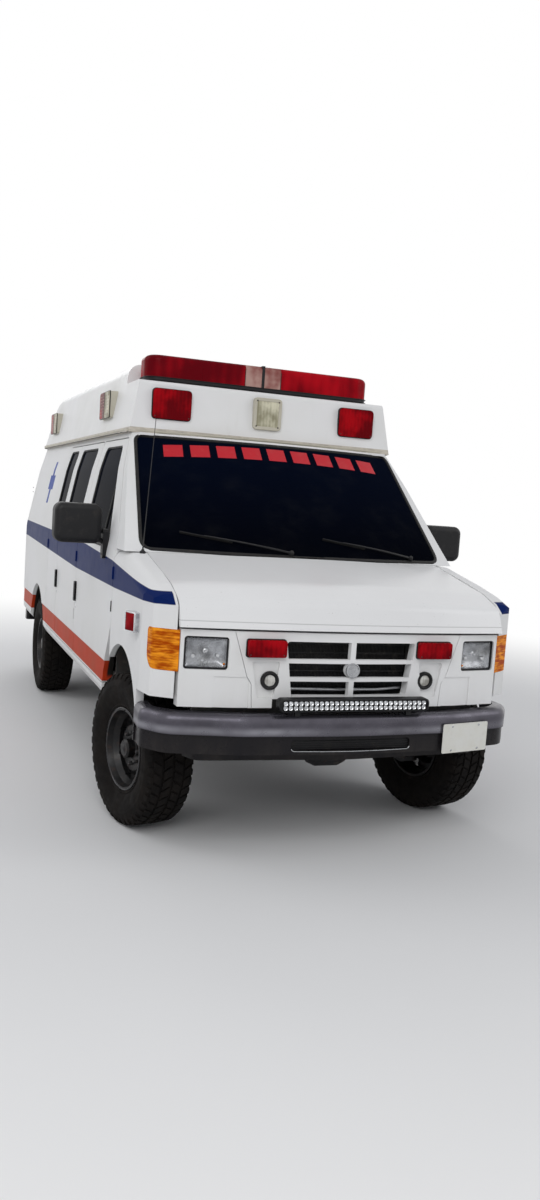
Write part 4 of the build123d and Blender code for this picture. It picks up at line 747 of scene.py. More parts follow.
# Headlamps with their bowls, driving lamps in sloping pockets, and the bezels of the grille lamps
BOWL = (((196, 139, 12, -18), 0), ((176, 124, 16, -30), 2), ((124, 92, 26, -41), 4), ((60, 56, 22, -46), 4),
        ((30, 28, 12, -47), 4))
BULB = [(0.01, 0), (12, 0), (12, 3), (7, 5), (7, 18), (5, 22), (0.01, 23)]
SMALL_BULB = [(0.01, 14), (9, 14), (13, 9), (14, 0), (0.01, 0)]
AMBER_BULB = [(0.01, 8), (4, 8), (5, 6), (5, 0), (0.01, 0)]
POCKET = [(0.01, -28), (44, -28), (46, -14), (46, -2), (43, 3), (36, 4), (31, 1), (29, -6), (28, -14),
          (0.01, -16)]
DRIVING_LAMP = [(0.01, -15), (27.5, -14), (27.5, -5), (24, -3.5), (23, -5), (17, -3.5), (16, -5), (9, -3.5),
                (8, -5), (0.01, -4)]
heads = Piece("headlamp_units")
bezels = Piece("grille_lamp_bezels")
for side in (1, -1):
    face = on_nose(743, 1024, side)
    heads.put(frame_ring(213, 156, 15, 8, -26, -9), "black", face)
    heads.put(dome(199, 142, 12, -17, 7), "fluted", face)
    bowl = [rect_loop(*size, mid=(0, up)) for size, up in BOWL]
    shell = [[Vector((p.x * 1.01, p.y * 1.01, p.z - 1.5)) for p in loop] for loop in bowl]
    heads.put(rings(bowl[::-1] + shell), "reflector", face)
    heads.turned(BULB, 14, "chrome", shift(face, 0, 4, -46))
    for a, b in ((-58, -14), (60, -20)):
        heads.turned(SMALL_BULB, 14, "chrome", shift(face, a, b, -40))
    heads.turned(AMBER_BULB, 10, "amber", shift(face, -88, -52, -20))
    face = on_nose(424, 897, side)
    heads.turned(POCKET, 40, "black", face)
    heads.turned(DRIVING_LAMP, 36, "driving", face)
    face = on_nose(456, 1056, side)
    bezels.put(frame_ring(201, 91, 15, 5, -2, 9, 1.0), "black", face)
    bezels.bolts(3.6, 2.4, face, [(-84, -30, 31), (84, -30, 31)])
heads.done("headlamps")
bezels.done()

# Light strip in the bumper: two rows of small lamps in cups
LED_COLUMNS, LED_PITCH = 29, 26.6
CUP = [(0.01, 1.5), (4, 1.5), (8.2, 6.5), (10.2, 8), (11, 7.2), (11, 0), (0.01, 0)]
LED = [(0.01, 6.8), (4.5, 6), (7.6, 3.8), (7.6, 3), (0.01, 3)]
bar = Piece("light_strip")
face = front_face(0, -806, 794)
housing = [(806, 64, 24, -54), (806, 64, 26, -3), (800, 58, 24, 0), (789, 50, 20, 0), (786, 47, 19, -9)]
bar.put(slab(housing, 8), "black", face)
for i in range(LED_COLUMNS):
    for b in (-11.6, 11.6):
        spot = shift(face, (i - (LED_COLUMNS - 1) / 2) * LED_PITCH, b, -9)
        bar.turned(CUP, 14, "chrome", spot)
        bar.turned(LED, 12, "led", spot)
for a in (-300, 300):
    bar.box((a - 14, -784, 737), (a + 14, -764, 766), 2, "black", smooth=False)
bar.done("led_bar")

# Radiator behind the grille, with fins, tubes and a lower hose, and a plain disc in the grille's centre
FINS, FIN_PITCH = 88, 7.8
DISC = [(0.01, 0.8), (28, 0.8), (29, -0.5), (30, 0.8), (31.5, 2.6), (34, 3), (36.6, 1.8), (37.4, -1),
        (37.4, -6), (0.01, -6)]
grille = Piece("radiator_and_grille")
grille.box((-352, -606, 808), (352, -601, 1100), 1, "black", smooth=False)
for i in range(FINS):
    x = (i - (FINS - 1) / 2) * FIN_PITCH
    grille.box((x - 0.8, -612, 812), (x + 0.8, -605, 1096), 0.3, "core", smooth=False, segments=1)
for z in range(838, 1069, 46):
    grille.pipe([(-348, -613, z), (348, -613, z)], 3.5, 8, "core")
grille.pipe([(-300, -640, 846), (-60, -646, 842), (180, -646, 842), (318, -638, 850)], 9, 12, "alloy")
grille.turned(DISC, 44, "alloy", front_face(0, -733, 952))
grille.done()


def number_plate(piece, face, back, front, side):
    """Blank plate with a raised rim, held by four bolts."""
    rim = front + 0.7
    rows = [(305, 152, 10, back), (305, 152, 10, front), (303.6, 150.6, 9, rim), (297, 144, 7, rim)]
    piece.put(slab(rows + [(295.4, 142.4, 6, front - 0.2)]), "plate", face)
    spots = [(side * a, b, front - 0.2) for b in (62, -62) for a in (-90, 90)]
    piece.bolts(6.0, 3.0, face, spots, "alloy")


plate = Piece("front_plate")
spot = Matrix.Translation(at(654, -763, 612)) @ Matrix.Rotation(radians(11.4), 4, "Z")
number_plate(plate, spot @ facing((0, 0, 0), (1, 0, 0), UP, (0, -1, 0)), -1.5, 0.4, 1)
plate.box((-0.1, 0.0015, -0.03), (0.1, 0.016, 0.066), 0.002, "steel", spot, False)
plate.done()

# Slot in the bumper with its bars and the bright edge below
slot = Piece("bumper_slot")
slot.box((-319, -772, 565), (319, -764.5, 623), 1, "black", smooth=False)
for z in (576, 588, 600, 612):
    slot.box((-316, -778, z - 1.6), (316, -770, z + 1.6), 0.8, "black", smooth=False)
lower = [(-320, 578), (-316, 570), (-306, 565.4), (-150, 564.6), (0, 564.6)]
lower += [(-x, z) for x, z in lower[-2::-1]]
slot.pipe([(x, -802.2 + 0.0643 * abs(x) * min(1, abs(x) / 250), z) for x, z in lower], 2.2, 8, "alloy")
slot.done()

# Fender lamps: a bright wedge with a red lens on its slanting face and a grey one in front
WEDGE = [Vector(q) for q in ((1006, -300), (1006, -398), (1031, -398), (1061, -318), (1058, -300))]
WEDGE_MIDDLE = Vector((1030, -345))
markers = Piece("fender_lamps")
for side in (1, -1):
    loops = []
    for z, back in ((1074, 3), (1077, 0), (1169, 0), (1172, 3)):
        points = [q + (WEDGE_MIDDLE - q).normalized() * back for q in WEDGE]
        loops.append([at(side * q.x, q.y, z) for q in points])
    markers.put(rings(loops), "chrome", smooth=False)
    slant = facing(at(side * 1046.5, -357, 1123), (side * 30, 80, 0), UP, (side * 80, -30, 0))
    front = front_face(side * 1019, -398, 1123, side)
    markers.put(frame_ring(84, 96, 8, 4, -2, 2.4, 0.9), "chrome", slant)
    markers.put(dome(74, 86, 6, 0.8, 3.5, 1.2), "red", slant)
    markers.put(frame_ring(24, 96, 6, 3, -2, 1.4, 0.8), "chrome", front)
    markers.put(dome(17, 88, 4, 0.4, 1.2, 1.0), "silver_lens", front)
markers.done("fender_markers")

# Openings of the windows, as seen from the front, the side and behind: corner points and corner radii
SCREEN = ([(-916, 1452), (916, 1452), (834, 2098), (-834, 2098)], [60, 60, 50, 50])
FRONT_WINDOW = ([(512, 1425), (892, 2034), (1408, 2034), (1408, 1425)], [40, 60, 60, 40])
CARGO_WINDOWS = {"cargo_door_front": (1690, 2325), "cargo_door_rear": (2486, 2850)}
REAR_WINDOW = ([(150, 1440), (150, 1990), (700, 1990), (790, 1440)], 60)


def shrunk(points, radii, inset=7):
    """Rounded outline moved in towards its middle by inset."""
    out = rounded_outline(points, radii)
    middle = sum(out, Vector((0, 0))) / len(out)
    moved = []
    for i, p in enumerate(out):
        along = (out[(i + 1) % len(out)] - out[i - 1]).normalized()
        normal = Vector((-along.y, along.x))
        if normal.dot(middle - p) < 0:
            normal = -normal
        moved.append(p + normal * inset)
    return moved


def seal(name, body, pane, points, direction, width=14, height=10):
    """Piece with a rubber strip laid on a pane, just inside its opening."""
    piece = Piece(name, body)
    rows = laid(skin(nodes[pane]), divide(points, 0.05), direction)
    piece.put(strip(rows, width / 1000, height / 1000), "rubber")
    return piece


points = [at(q.x, -400, q.y) for q in shrunk(*SCREEN)]
seal("windscreen_seal", "root", "windscreen", points, (0, 1, 0), 22, 7).done()
for side, name in SIDES:
    inward = (-side, 0, 0)
    pane = f"front_door_glass_{name}"
    points = [at(side * 1300, q.x, q.y) for q in shrunk(*FRONT_WINDOW)]
    piece = seal(f"door_window_seal_{name}", f"front_door_{name}", pane, points, inward)
    for y in (770, 776):
        rows = laid(skin(nodes[pane]), [at(side * 1300, y, z) for z in range(1440, 1860, 20)], inward)
        piece.put(strip(rows, 0.012, 0.008, False), "rubber")
    piece.done()
    points = [at(side * q.x, 5200, q.y) for q in shrunk(*REAR_WINDOW)]
    door = f"rear_door_{name}"
    seal(f"rear_window_seal_{name}", door, f"rear_door_glass_{name}", points, (0, -1, 0), 16, 8).done()
for door, (y0, y1) in CARGO_WINDOWS.items():
    outline = shrunk([(y0, 1440), (y1, 1440), (y1, 2040), (y0, 2040)], 50)
    points = [at(-1300, q.x, q.y) for q in outline]
    seal(f"{door}_window_seal", door, f"{door}_glass", points, (1, 0, 0)).done()

# Plain red blocks in a slight arch along the top of the windscreen: grids of points laid on the glass
BLOCKS, BLOCK_PITCH, BLOCK_WIDE, BLOCK_LOW, BLOCK_HIGH = 9, 158, 112, 1999, 2070
ROW_HALF, ROW_SAG = 640, 22
DOWN, ALONG = 4, 7
LAYER = DOWN * ALONG
film = Piece("windscreen_film")
tree = skin(nodes["windscreen"])
for i in range(BLOCKS):
    mid = (i - (BLOCKS - 1) / 2) * BLOCK_PITCH
    sag = ROW_SAG * (mid / ROW_HALF) ** 2
    low, high = BLOCK_LOW - sag, BLOCK_HIGH - sag
    grid = []
    for k in range(DOWN):
        z = low + (high - low) * k / (DOWN - 1)
        for m in range(ALONG):
            part = m / (ALONG - 1) - 0.5
            x = mid + part * BLOCK_WIDE - 0.12 * mid / ROW_HALF * (z - low)
            grid.append(lay(tree, at(x, -400, z - 8 * part * mid / ROW_HALF), (0, 1, 0)))
    verts = [spot + n * lift for lift in (0.0009, 0.0001) for spot, n in grid]
    cells = [start + k * ALONG + m for start in (0, LAYER) for k in range(DOWN - 1) for m in range(ALONG - 1)]
    faces = [(a, a + 1, a + ALONG + 1, a + ALONG) for a in cells]
    rim = list(range(ALONG)) + [2 * ALONG - 1, 3 * ALONG - 1]
    rim += list(range(LAYER - 1, 3 * ALONG - 1, -1)) + [2 * ALONG, ALONG]
    faces += [(a, b, b + LAYER, a + LAYER) for a, b in zip(rim, rim[1:] + rim[:1])]
    film.put((verts, faces), "red_film")
film.done()

# Wipers, each given by its pivot and tip and laid on the windscreen, and the whip mast
WIPERS = (((-100, -56, 1470), (-640, 66, 1545)), ((680, 17, 1470), (170, 19, 1550)))
WIPER_CAP = [(0.01, 14), (9, 13), (13, 8), (15, 0), (15, -10), (0.01, -10)]
WHIP = ((-905, 60, 1447), (-896, 84, 1520), (-885, 113, 1606), (-860, 180, 1806), (-836, 244, 1998),
        (-815, 300, 2165))
WHIP_FOOT = [(0.01, 12), (6, 11), (9, 4), (15, 0), (17, -4), (17, -11), (0.01, -11)]
wipers = Piece("wipers_and_aerial")
for ends in WIPERS:
    pivot, tip = [Vector(end) for end in ends]
    path = [pivot.lerp(tip, k / 8 * 0.86) for k in range(9)]
    rows = laid(tree, [at(p.x, -400, max(p.z, 1462)) for p in path], (0, 1, 0))
    arm = [spot + n * (0.016 + 0.006 * sin(pi * k / 8)) for k, (spot, n) in enumerate(rows)]
    wipers.put(tube(arm, [0.0065 - 0.0003 * k for k in range(9)], 8), "black")
    wipers.turned(WIPER_CAP, 18, "black", facing(arm[0], (1, 0, 0), (0, 0.75, 0.66), (0, -0.66, 0.75)))
    reach = 0.5 * (tip - pivot)
    path = [pivot.lerp(tip, 0.84) + reach * (k / 14 - 0.5) * 1.02 for k in range(15)]
    blade = laid(tree, [at(p.x, -400, max(p.z, 1466)) for p in path], (0, 1, 0))
    wipers.put(strip(blade, 0.005, 0.011, False), "rubber")
    wipers.put(tube([p + n * 0.013 for p, n in blade], 0.0028, 6), "black")
wipers.put(tube([at(*p) for p in WHIP], [0.0042, 0.0036, 0.003, 0.0026, 0.0021, 0.0017], 8), "black")
wipers.turned(WHIP_FOOT, 20, "black", top_face(-905, 58, 1447))
wipers.done("wipers_and_mast")

# Mirror glass
for side, name in SIDES:
    piece = Piece(f"mirror_face_{name}", f"front_door_{name}")
    face = rear_face(side * 1174.5, 604, 1562, side)
    piece.put(dome(226, 183, 26, -1.0, 2.5), "mirror", face)
    piece.put(frame_ring(236, 193, 30, 5.5, -2, 3.6), "rubber", face)
    foot = facing(at(side * 1028, 575, 1450), (0, -side, 0), UP, (side, 0, 0))
    piece.bolts(5.0, 3.5, foot, [(0, b, -1) for b in (-62, 0, 62)])
    piece.done()

# Locks and the surrounds of the handles
LOCK = [(0.01, 1.6), (5, 1.6), (5.4, 3), (10, 2.6), (12, 1), (12, -2), (0.01, -2)]
SURROUND = frame_ring(34, 132, 8, 5, -3, 2.2, 1.0)
DOOR_LOCKS = (
    ("door_lock_left", "front_door_left", 1, 1494),
    ("door_lock_right", "front_door_right", -1, 1494),
    ("cargo_door_lock", "cargo_door_front", -1, 2386),
)
for name, door, side, y in DOOR_LOCKS:
    piece = Piece(name, door)
    spot, normal = lay(skin(nodes[door]), at(side * 1300, y, 975), (-side, 0, 0))
    piece.turned(LOCK, 24, "chrome", facing(spot, (0, side, 0), UP, normal))
    piece.put(SURROUND, "grey", side_face(side * 1022.5, y, 1076, side))
    piece.done()
piece = Piece("rear_door_handle", "rear_door_right")
piece.put(SURROUND, "grey", rear_face(-67, 4560.5, 1076))
piece.turned(LOCK, 24, "chrome", rear_face(-67, 4545, 975))
number_plate(piece, rear_face(-470, 4546, 880), 0, 2, -1)
piece.done()

fuel = Piece("fuel_door")
spot, normal = lay(skin(nodes["body_side_left"]), at(1300, 2260, 960), (-1, 0, 0))
face = facing(spot, (0, 1, 0), UP, normal)
fuel.put(slab([(170, 170, 26, -2), (170, 170, 26, 0.6), (166, 166, 24, 2.0)]), "plain", face)
fuel.put(frame_ring(177, 177, 28, 3, -2, 0.5, 0.2), "rubber", face)
fuel.box((-82, -14, 1.5), (-76, 14, 5), 1.2, "plain", face)
fuel.done()

# Tail lamp frames, bolts at the rear corners and the ribbed pads on the rear step
rear = Piece("rear_trim")
for side in (1, -1):
    face = rear_face(side * 953, 4557, 930, side)
    rear.put(frame_ring(72, 266, 8, 4, -5, 2.0, 0.8), "black", face)
    for b in (-44, 44):
        rear.box((-29, b - 1.2, -1), (29, b + 1.2, 1.6), 0.5, "black", face)
    for z in (1180, 1220, 1700, 1740):
        rear.bolts(4.0, 2.0, rear_face(side * 953, 4546, z, side), [(0, 0, 0)])
step = top_face(0, 4633, 560)
for x0, x1 in ((-900, -260), (-230, 230), (260, 900)):
    wide = x1 - x0
    rows = [(wide, 110, 12, -1), (wide, 110, 12, 3), (wide - 4, 106, 11, 4.5)]
    rear.put(slab(rows, mid=((x0 + x1) / 2, 0)), "rubber", step)
    for a in range(x0 + 22, x0 + 22 * (wide // 22), 22):
        rear.box((a - 3, -48, 3.5), (a + 3, 48, 7), 1.0, "rubber", step, False, 1)
rear.done()

# Tyres: half the carcass's section as (off the middle, radius), rows of blocks, and a lug's section
CARCASS = [(96, 217.5), (104, 226), (107, 232), (104, 238), (118, 262), (130, 296), (132, 318), (130.5, 330),
           (131.5, 334), (130.5, 338), (127, 352), (122, 368), (114, 382), (104, 390), (96, 392.5), (60, 393.5),
           (0, 394)]
TREAD_COUNT = 44
TREAD_PITCH = 2 * pi / TREAD_COUNT
TREAD_ROWS = ((-84, 40, 0.0, -0.03), (-29, 44, 0.5, 0.03), (29, 44, 0.0, -0.03), (84, 40, 0.5, 0.03))
LUG = ((388, 104), (396.5, 104.5), (391, 116), (374, 123), (366, 123.5), (368, 118))


def tread_block(start, mid, wide, skew):
    """Block of the tread, with softened edges, from its base to its top."""
    base, top = (392, 403) if abs(mid) < 50 else (389, 402)
    loops = []
    for r, trim in ((base, 0.0), (top - 1.0, 0.35), (top, 1.6)):
        loop = []
        for s, a in ((-1, 0), (1, 0), (1, 1), (-1, 1)):
            off = mid + s * (wide / 2 - trim)
            low = r - 2.5 if abs(off) > 95 and r > base else r
            angle = start + (TREAD_PITCH * 0.80 - 2 * trim / 400) * a + trim / 400 + skew * s
            loop.append((low * cos(angle), low * sin(angle), off))
        loops.append(loop)
    return rings(loops)


def shoulder_lug(start, span, side):
    """Lug over the edge of the tread; its points alternate between its two ends."""
    angles = (start, start + span)
    verts = [(r * cos(a), r * sin(a), side * off) for r, off in LUG for a in angles]
    n = len(LUG)
    faces = [(k * 2, k * 2 + 1, (k + 1) % n * 2 + 1, (k + 1) % n * 2) for k in range(n)]
    faces += [tuple(range(0, 2 * n, 2)), tuple(range(2 * n - 1, 0, -2))]
    return verts, faces


def tyre_mesh(piece, place):
    """Carcass with ringed sidewalls, four rows of tread blocks and shoulder lugs."""
    profile = [(r, a) for a, r in CARCASS] + [(r, -a) for a, r in CARCASS[-2::-1]] + [(222, -80), (222, 80)]
    piece.turned(profile, 96, "tyre", place, close=True)
    for mid, wide, phase, skew in TREAD_ROWS:
        for i in range(TREAD_COUNT):
            piece.put(tread_block(TREAD_PITCH * (i + phase), mid, wide, skew), "tyre", place, False)
    for side in (-1, 1):
        for i in range(TREAD_COUNT):
            start = TREAD_PITCH * (i + (0.5 if side > 0 else 0.0))
            span = TREAD_PITCH * (0.62 if i % 2 else 0.46)
            piece.put(shoulder_lug(start, span, side), "tyre", place, False)


# Places of the wheels, and how far the front wheels are turned at rest
FRONT_HALF_TRACK, REAR_HALF_TRACK, WHEELBASE, WHEEL_Z, KINGPIN_X = 881, 853, 3505, 403, 770
REST_STEER = radians(12)


def wheel_place(side, front):
    """Matrix from a wheel drawn in millimetres about the Z axis to its place on the model."""
    mid = at(side * FRONT_HALF_TRACK, 0, WHEEL_Z) if front else at(side * REAR_HALF_TRACK, WHEELBASE, WHEEL_Z)
    scale = Matrix.Diagonal((0.001, 0.001, 0.001, 1))
    place = Matrix.Translation(mid) @ Matrix.Rotation(side * pi / 2, 4, "Y") @ scale
    if front:
        pin = at(side * KINGPIN_X, 0, 0)
        steer = Matrix.Rotation(REST_STEER, 4, "Z")
        place = Matrix.Translation(pin) @ steer @ Matrix.Translation(-pin) @ place
    return place


NUTS = 8
NUT = [(0.01, 19), (7, 19), (10, 16), (11, 0), (15, -1), (0.01, -1)]
RIM_EDGE = [(217, 92), (219.5, 97), (218.5, 103.5), (214, 105), (209, 101), (207, 94), (204, 88), (205, 84),
            (214, 86)]
HUB = [(0.01, 98.5), (16, 98), (18, 96.5), (30, 96.3), (40, 95), (49.5, 86), (50.5, 60), (52, 50), (58, 46.4),
       (0.01, 46)]
VALVE = [(0.01, 34), (3, 34), (3.4, 20), (4.4, 0), (0.01, 0)]
for axle in ("front", "rear"):
    for side, hand in SIDES:
        name = f"{axle}_{hand}"
        place = wheel_place(side, axle == "front")
        tread = Piece(f"tyre_{name}_detail", f"wheel_{name}")
        tyre_mesh(tread, place)
        tread.done(f"tyre_{name}")
        trim = Piece(f"rim_{name}_detail", f"wheel_{name}")
        for i in range(NUTS):
            spot = shift(place @ Matrix.Rotation(2 * pi * i / NUTS, 4, "Z"), 84, 0, 46)
            trim.turned(NUT, 6, "steel", spot, False)
        trim.turned(RIM_EDGE, 72, "rim_edge", place, close=True)
        trim.turned(HUB, 40, "rim", place)
        trim.turned(VALVE, 10, "rubber", shift(place, 190, 0, 78) @ Matrix.Rotation(radians(30), 4, "Y"))
        trim.done()

# Frames of the roof lamps; the side lamps are ribbed, red behind on the left and in front on the right
FRONT_LAMP_Z, SIDE_LAMP_Z = 2294.0, 2318.0
roof = Piece("roof_lamp_frames")
front_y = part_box("roof_lamps_red")[0][1] * 1000 + MID_STATION
for x in (610, -610):
    face = front_face(x, front_y, FRONT_LAMP_Z)
    roof.put(frame_ring(245, 185, 26, 5.5, -27, -12, 1.5), "black", face)
    roof.bolts(4.0, 2.2, face, [(-105, -75, -0.6), (105, -75, -0.6)])
face = front_face(0, front_y, FRONT_LAMP_Z)
roof.put(frame_ring(183, 195, 25, 20, -26, 3, 2.0), "beige", face)
roof.bolts(5.0, 2.4, face, corners(72, 78, 2.8))
for side in (1, -1):
    for y in (1560, 3960):
        face = side_face(side * 870, y, SIDE_LAMP_Z, side)
        roof.put(frame_ring(336, 174, 20, 4, -64, -2, 1.5), "beige", face)
        roof.put(frame_ring(340, 178, 22, 3.5, -8, -2, 1.0), "black", face)
        roof.box((-3, -84, -58), (3, 84, 1.6), 1.2, "black", face)
        roof.bolts(4.0, 2.2, face, corners(150, 70, -0.6))
        for a in (-41, -122, 41, 122):
            for b in range(-60, 61, 20):
                ribs = shift(face, a, 0, -0.8)
                mat = "red" if a > 0 else "clear"
                roof.box((-26, b - 0.9, 0), (26, b + 0.9, 1.6), 0.7, mat, ribs, segments=1)
roof.done()

# Light bar: gaskets all the way round, seams of the lens, bolts and feet
topbar = Piece("light_bar_trim")
loop = rounded_outline([(-747, 882), (747, 882), (747, 1140), (-747, 1140)], 96, 10)
for z, grow, thick in ((2464, 2.0, 2.4), (2444, 2.5, 2.0)):
    rows = []
    for p in divide(loop, 60):
        rows.append((p.x + (grow if p.x > 0 else -grow), p.y + (grow if p.y > 1011 else -grow), z))
    topbar.pipe(rows, thick, 6, "black", True)
for x in (-560, -400, -240, 240, 400, 560):
    for y in (881.2, 1139.4):
        topbar.box((x - 1.6, y, 2470), (x + 1.6, y + 1.6, 2566), 0.7, "bar_red", segments=1)
for x in (-119.5, 119.5):
    topbar.box((x - 2, 880.5, 2466), (x + 2, 883.5, 2570), 1, "black", segments=1)
for x in (-520, 520):
    topbar.bolts(7.0, 4.0, front_face(x, 945, 2444), [(-36, 0, 0), (36, 0, 0)])
    topbar.box((x - 62, 930, 2431), (x + 62, 951, 2443), 3, "alloy")
topbar.done()

# Lip of the roof: a bead above a dark joint, all the way round
BEAD = [(-0.5, 0.0), (-0.42, 0.9), (0.1, 1.0), (0.34, 0.7), (0.5, 0.0)]
BEAD_POINTS, BEAD_Z, JOINT_Z = 120, 2.1245, 2.1125
lip = Piece("roof_lip_bead")
tree = skin(nodes["raised_roof"])
middle = at(0, 2600, 0)
rows = []
for k in range(BEAD_POINTS):
    a = 2 * pi * k / BEAD_POINTS
    start = Vector((2.2 * cos(a), 4.2 * sin(a), 0)) + middle
    direction = (middle - start).normalized()
    start.z = BEAD_Z
    spot, normal = lay(tree, start, direction, 6.0)
    normal.z = 0
    rows.append((spot, normal.normalized()))
lip.put(strip(rows, 0.011, 0.005, True, BEAD), "beige")
lip.put(strip([(Vector((p.x, p.y, JOINT_Z)), n) for p, n in rows], 0.006, 0.0015), "rubber")
lip.done()


# Dashboard: instruments, vents, radio and the steering wheel's hub
def on_dash(x, y, z):
    return facing(at(x, y, z), (-1, 0, 0), (0, 0.1, 1), (0, 1, -0.1))


dash = Piece("dashboard_fittings")
binnacle = on_dash(520, 436, 1330)
dash.put(frame_ring(360, 130, 26, 16, -8, 26, 5.0), "trim", binnacle)
dash.put(slab([(326, 98, 14, -6), (326, 98, 14, 2)]), "black", binnacle)
for a, r in ((-100, 32), (-30, 38), (48, 38), (114, 24)):
    dial = shift(binnacle, a, 0, 2)
    dash.turned([(0.01, 1), (r - 3, 1), (r - 2, 4), (r, 4), (r + 1, 0), (0.01, 0)], 28, "grey", dial)
    dash.box((-1, -2, 2), (1, r - 8, 4), 0.6, "red_film", dial, segments=1)
for x in (760, 120, -120, -760):
    vent = on_dash(x, 437, 1350)
    dash.put(frame_ring(120, 62, 12, 6, -6, 8, 2.0), "black", vent)
    for b in (-18, -9, 0, 9, 18):
        dash.box((-52, b - 1, -4), (52, b + 1, 5), 0.6, "black", vent, segments=1)
radio = rear_face(0, 440, 1240)
dash.put(slab([(220, 90, 8, -6), (220, 90, 8, 5), (214, 84, 6, 8)]), "black", radio)
for a in (-88, 88):
    dash.turned([(0.01, 24), (11, 23), (13, 20), (14, 8), (0.01, 8)], 20, "grey", shift(radio, a, 0, 0))
hub = facing(at(520, 612, 1376), (-1, 0, 0), (0, -0.4, 0.91), (0, 0.91, 0.4))
dash.turned([(0.01, 20), (40, 18), (58, 8), (62, -8), (58, -18), (0.01, -20)], 28, "trim", hub)
dash.done()

# Cabinet: smoked sliding doors and a drawer below each bay
cabin = Piece("cabinet_fittings")
for y in (1940, 2520, 3100, 3680):
    for z in (1010, 1330, 1640):
        for a in (0, 255):
            cabin.box((436.5, y + 10 + a, z + 8), (441.0, y + 255 + a, z + 192), 1.5, "screen", segments=1)
    drawer = side_face(439.5, y + 260, 860, -1)
    cabin.put(frame_ring(500, 200, 12, 4, -1, 2.4, 0.8), "grey", drawer)
    cabin.box((-60, 62, 0), (60, 74, 14), 4.0, "chrome", drawer)
cabin.done()

# Seat and bench pads: (name, middle across, box about that middle, material), in millimetres
SEAT_PAD = (-250, 250, 700, 1180, 892, 1045)
BACK_PAD = (-240, 240, 1160, 1285, 1040, 1660)
PADS = [
    ("seat_pad_left", 520, SEAT_PAD, "vinyl"),
    ("seat_pad_right", -520, SEAT_PAD, "vinyl"),
    ("seat_back_left", 520, BACK_PAD, "vinyl"),
    ("seat_back_right", -520, BACK_PAD, "vinyl"),
    ("bench_pad_front", -640, (-236, 236, 3030, 3655, 1156, 1220), "bench"),
    ("bench_pad_rear", -640, (-236, 236, 3665, 4290, 1156, 1220), "bench"),
]
PAD_SHRINK = 9
PAD_VOXEL, PAD_VOXEL_QUICK = 0.009, 0.012
# The cloth runs for this many frames, and no point moves further than this in metres.
PAD_FRAMES, PAD_SWELL = 20, 0.022


def bake(made):
    """Apply an object's modifiers to its mesh."""
    graph = bpy.context.evaluated_depsgraph_get()
    graph.update()
    fresh = bpy.data.meshes.new_from_object(made.evaluated_get(graph), depsgraph=graph)
    made.modifiers.clear()
    made.data = fresh


def pad_mesh(name, mid, box, mat, upright):
    """Cushion: a shrunken rounded block, remeshed, inflated as cloth and smoothed."""
    x0, x1, y0, y1, z0, z1 = box
    lo = at(mid + x0 + PAD_SHRINK, y0 + PAD_SHRINK, z0 + PAD_SHRINK * 0.3)
    hi = at(mid + x1 - PAD_SHRINK, y1 - PAD_SHRINK, z1 - PAD_SHRINK)
    verts, faces = rounded_box(lo, hi, 0.03, 4)
    mesh = bpy.data.meshes.new(name)
    mesh.from_pydata([tuple(v) for v in verts], [], faces)
    mesh.materials.append(MATS[mat])
    made = bpy.data.objects.new(name, mesh)
    scene.collection.objects.link(made)
    remesh = made.modifiers.new("remesh", "REMESH")
    remesh.mode = "VOXEL"
    remesh.voxel_size = PAD_VOXEL
    bake(made)
    rest = [v.co.copy() for v in made.data.vertices]
    cloth = made.modifiers.new("cloth", "CLOTH")
    cloth.settings.use_pressure = True
    cloth.settings.uniform_pressure_force = 4.0
    cloth.settings.effector_weights.gravity = 0.0
    cloth.settings.quality = 4
    cloth.point_cache.frame_start = 1
    cloth.point_cache.frame_end = PAD_FRAMES
    for number in range(1, PAD_FRAMES + 1):
        scene.frame_set(number)
    bake(made)
    scene.frame_set(1)
    for v, old in zip(made.data.vertices, rest):
        move = v.co - old
        if move.length > PAD_SWELL:
            v.co = old + move * (PAD_SWELL / move.length)
        if not upright:
            v.co.z = max(v.co.z, z0 / 1000)
    smooth = made.modifiers.new("smooth", "SUBSURF")
    smooth.levels = 1
    bake(made)
    for p in made.data.polygons:
        p.use_smooth = True
    return made


def pad_start(mid, box, x, along, upright):
    """Where a line towards the pad's front or top starts, for a place across and along it."""
    return at(mid + x, box[2] - 200, along) if upright else at(mid + x, along, box[5] + 200)


for name, mid, box, mat in PADS:
    upright = "back" in name
    made = pad_mesh(name, mid, box, mat, upright)
    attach(made, "root")
    tree = skin(made)
    piping = Piece(f"{name}_piping")
    x0, x1 = box[:2]
    a0, a1 = box[4:] if upright else box[2:4]
    direction = (0, 1, 0) if upright else (0, 0, -1)
    inset = 60 if upright else 55
    left, right, near, far = x0 + inset, x1 - inset, a0 + inset, a1 - inset
    outline = divide(rounded_outline([(left, near), (right, near), (right, far), (left, far)], 30, 5), 25)
    rows = laid(tree, [pad_start(mid, box, p.x, p.y, upright) for p in outline], direction)
    piping.put(strip(rows, 0.006, 0.003), mat)
    if mat == "vinyl":
        for off in (-0.28, -0.09, 0.09, 0.28):
            stations = [a0 + 70 + k / 13 * (a1 - a0 - 140) for k in range(14)]
            rows = laid(tree, [pad_start(mid, box, off * (x1 - x0), a, upright) for a in stations], direction)
            piping.put(strip(rows, 0.004, 0.0022, False), mat)
    piping.done()

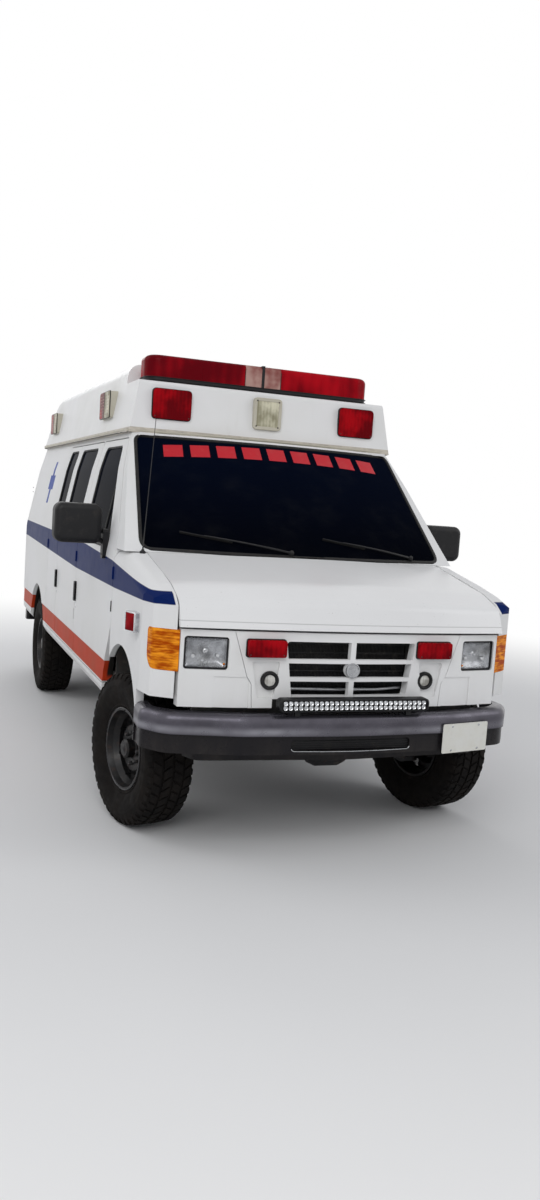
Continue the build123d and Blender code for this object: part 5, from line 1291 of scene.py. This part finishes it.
seats = Piece("seat_frames")
for x in (-520, 520):
    seats.box((x - 180, 760, 722.6), (x + 180, 1180, 866), 12, "trim")
    seats.box((x - 238, 712, 862), (x + 238, 1235, 897), 12, "trim")
    seats.box((x - 228, 1276, 960), (x + 228, 1299, 1645), 11, "trim")
    for side in (-1, 1):
        seats.box((x + side * 236 - 8, 1130, 880), (x + side * 236 + 8, 1290, 1060), 7, "trim")
        seats.pipe([(x + side * 150, 735, 732), (x + side * 150, 1215, 732)], 9, 8, "steel")
    seats.pipe([(x + 200, 700, 905), (x + 200, 690, 880), (x + 60, 690, 876)], 6, 8, "black")
seats.done("seats")

# Stage: pale surroundings, which the camera sees as white, also in mirrors and through glass
world = bpy.data.worlds.new("studio")
scene.world = world
world.use_nodes = True
world.node_tree.nodes.clear()
air = Tree(world.node_tree)
soft = air.node("ShaderNodeBackground", Color=(0.93, 0.95, 1.0), Strength=0.42)
white = air.node("ShaderNodeBackground", Color=(1, 1, 1), Strength=1.0)
blend = air.node("ShaderNodeMixShader", i0=air.seen(), i1=soft.outputs[0], i2=white.outputs[0])
air.node("ShaderNodeOutputWorld", i0=blend.outputs[0])

# The floor keeps its shadows near the object and fades to white, over these distances in metres.
FADE_FROM, FADE_TO = 3.2, 9.0
FLOOR_HALF = 400
ground = Paint("studio_floor", Roughness=0.9)
patch = ground.ramp(ground.noise(0.7, 3), 0.3, 0.7)
ground.put("Base Color", ground.mix(patch, (0.80, 0.80, 0.80), (0.79, 0.79, 0.79)))
away = ground.node("ShaderNodeVectorMath", {"operation": "LENGTH"}, i0=ground.place).outputs["Value"]
fade = ground.times(ground.ramp(away, FADE_FROM, FADE_TO), ground.seen())
glow = ground.node("ShaderNodeEmission", Color=(1, 1, 1), Strength=1.0)
mixed = ground.node("ShaderNodeMixShader", i0=fade, i1=ground.shader.outputs[0], i2=glow.outputs[0])
ground.join(ground.tree.nodes["Material Output"].inputs["Surface"], mixed.outputs[0])
corner_points = [(a * FLOOR_HALF, b * FLOOR_HALF, 0) for a, b in ((-1, -1), (1, -1), (1, 1), (-1, 1))]
floor_mesh = bpy.data.meshes.new("studio_floor")
floor_mesh.from_pydata(corner_points, [], [(0, 1, 2, 3)])
floor_mesh.materials.append(ground.mat)
floor = bpy.data.objects.new("studio_floor", floor_mesh)
scene.collection.objects.link(floor)

# Lamps: place, aim point and power
LAMP_SIZE = 5.0
LAMPS = [
    ((-3.5, -8.0, 6.0), (0, -1, 1.4), 235.0),
    ((7.0, -5.0, 5.5), (0, 0, 1.2), 130.0),
    ((-7.5, 2.0, 6.0), (0, 0.5, 1.2), 130.0),
    ((0.0, 6.5, 6.0), (0, 1, 1.5), 130.0),
]
for i, (spot, target, power) in enumerate(LAMPS):
    data = bpy.data.lights.new(f"lamp_{i}", "AREA")
    data.size = LAMP_SIZE
    data.energy = power
    lamp = bpy.data.objects.new(f"lamp_{i}", data)
    back = (Vector(spot) - Vector(target)).normalized()
    lamp.matrix_world = Matrix.Translation(spot) @ back.to_track_quat("Z", "Y").to_matrix().to_4x4()
    scene.collection.objects.link(lamp)
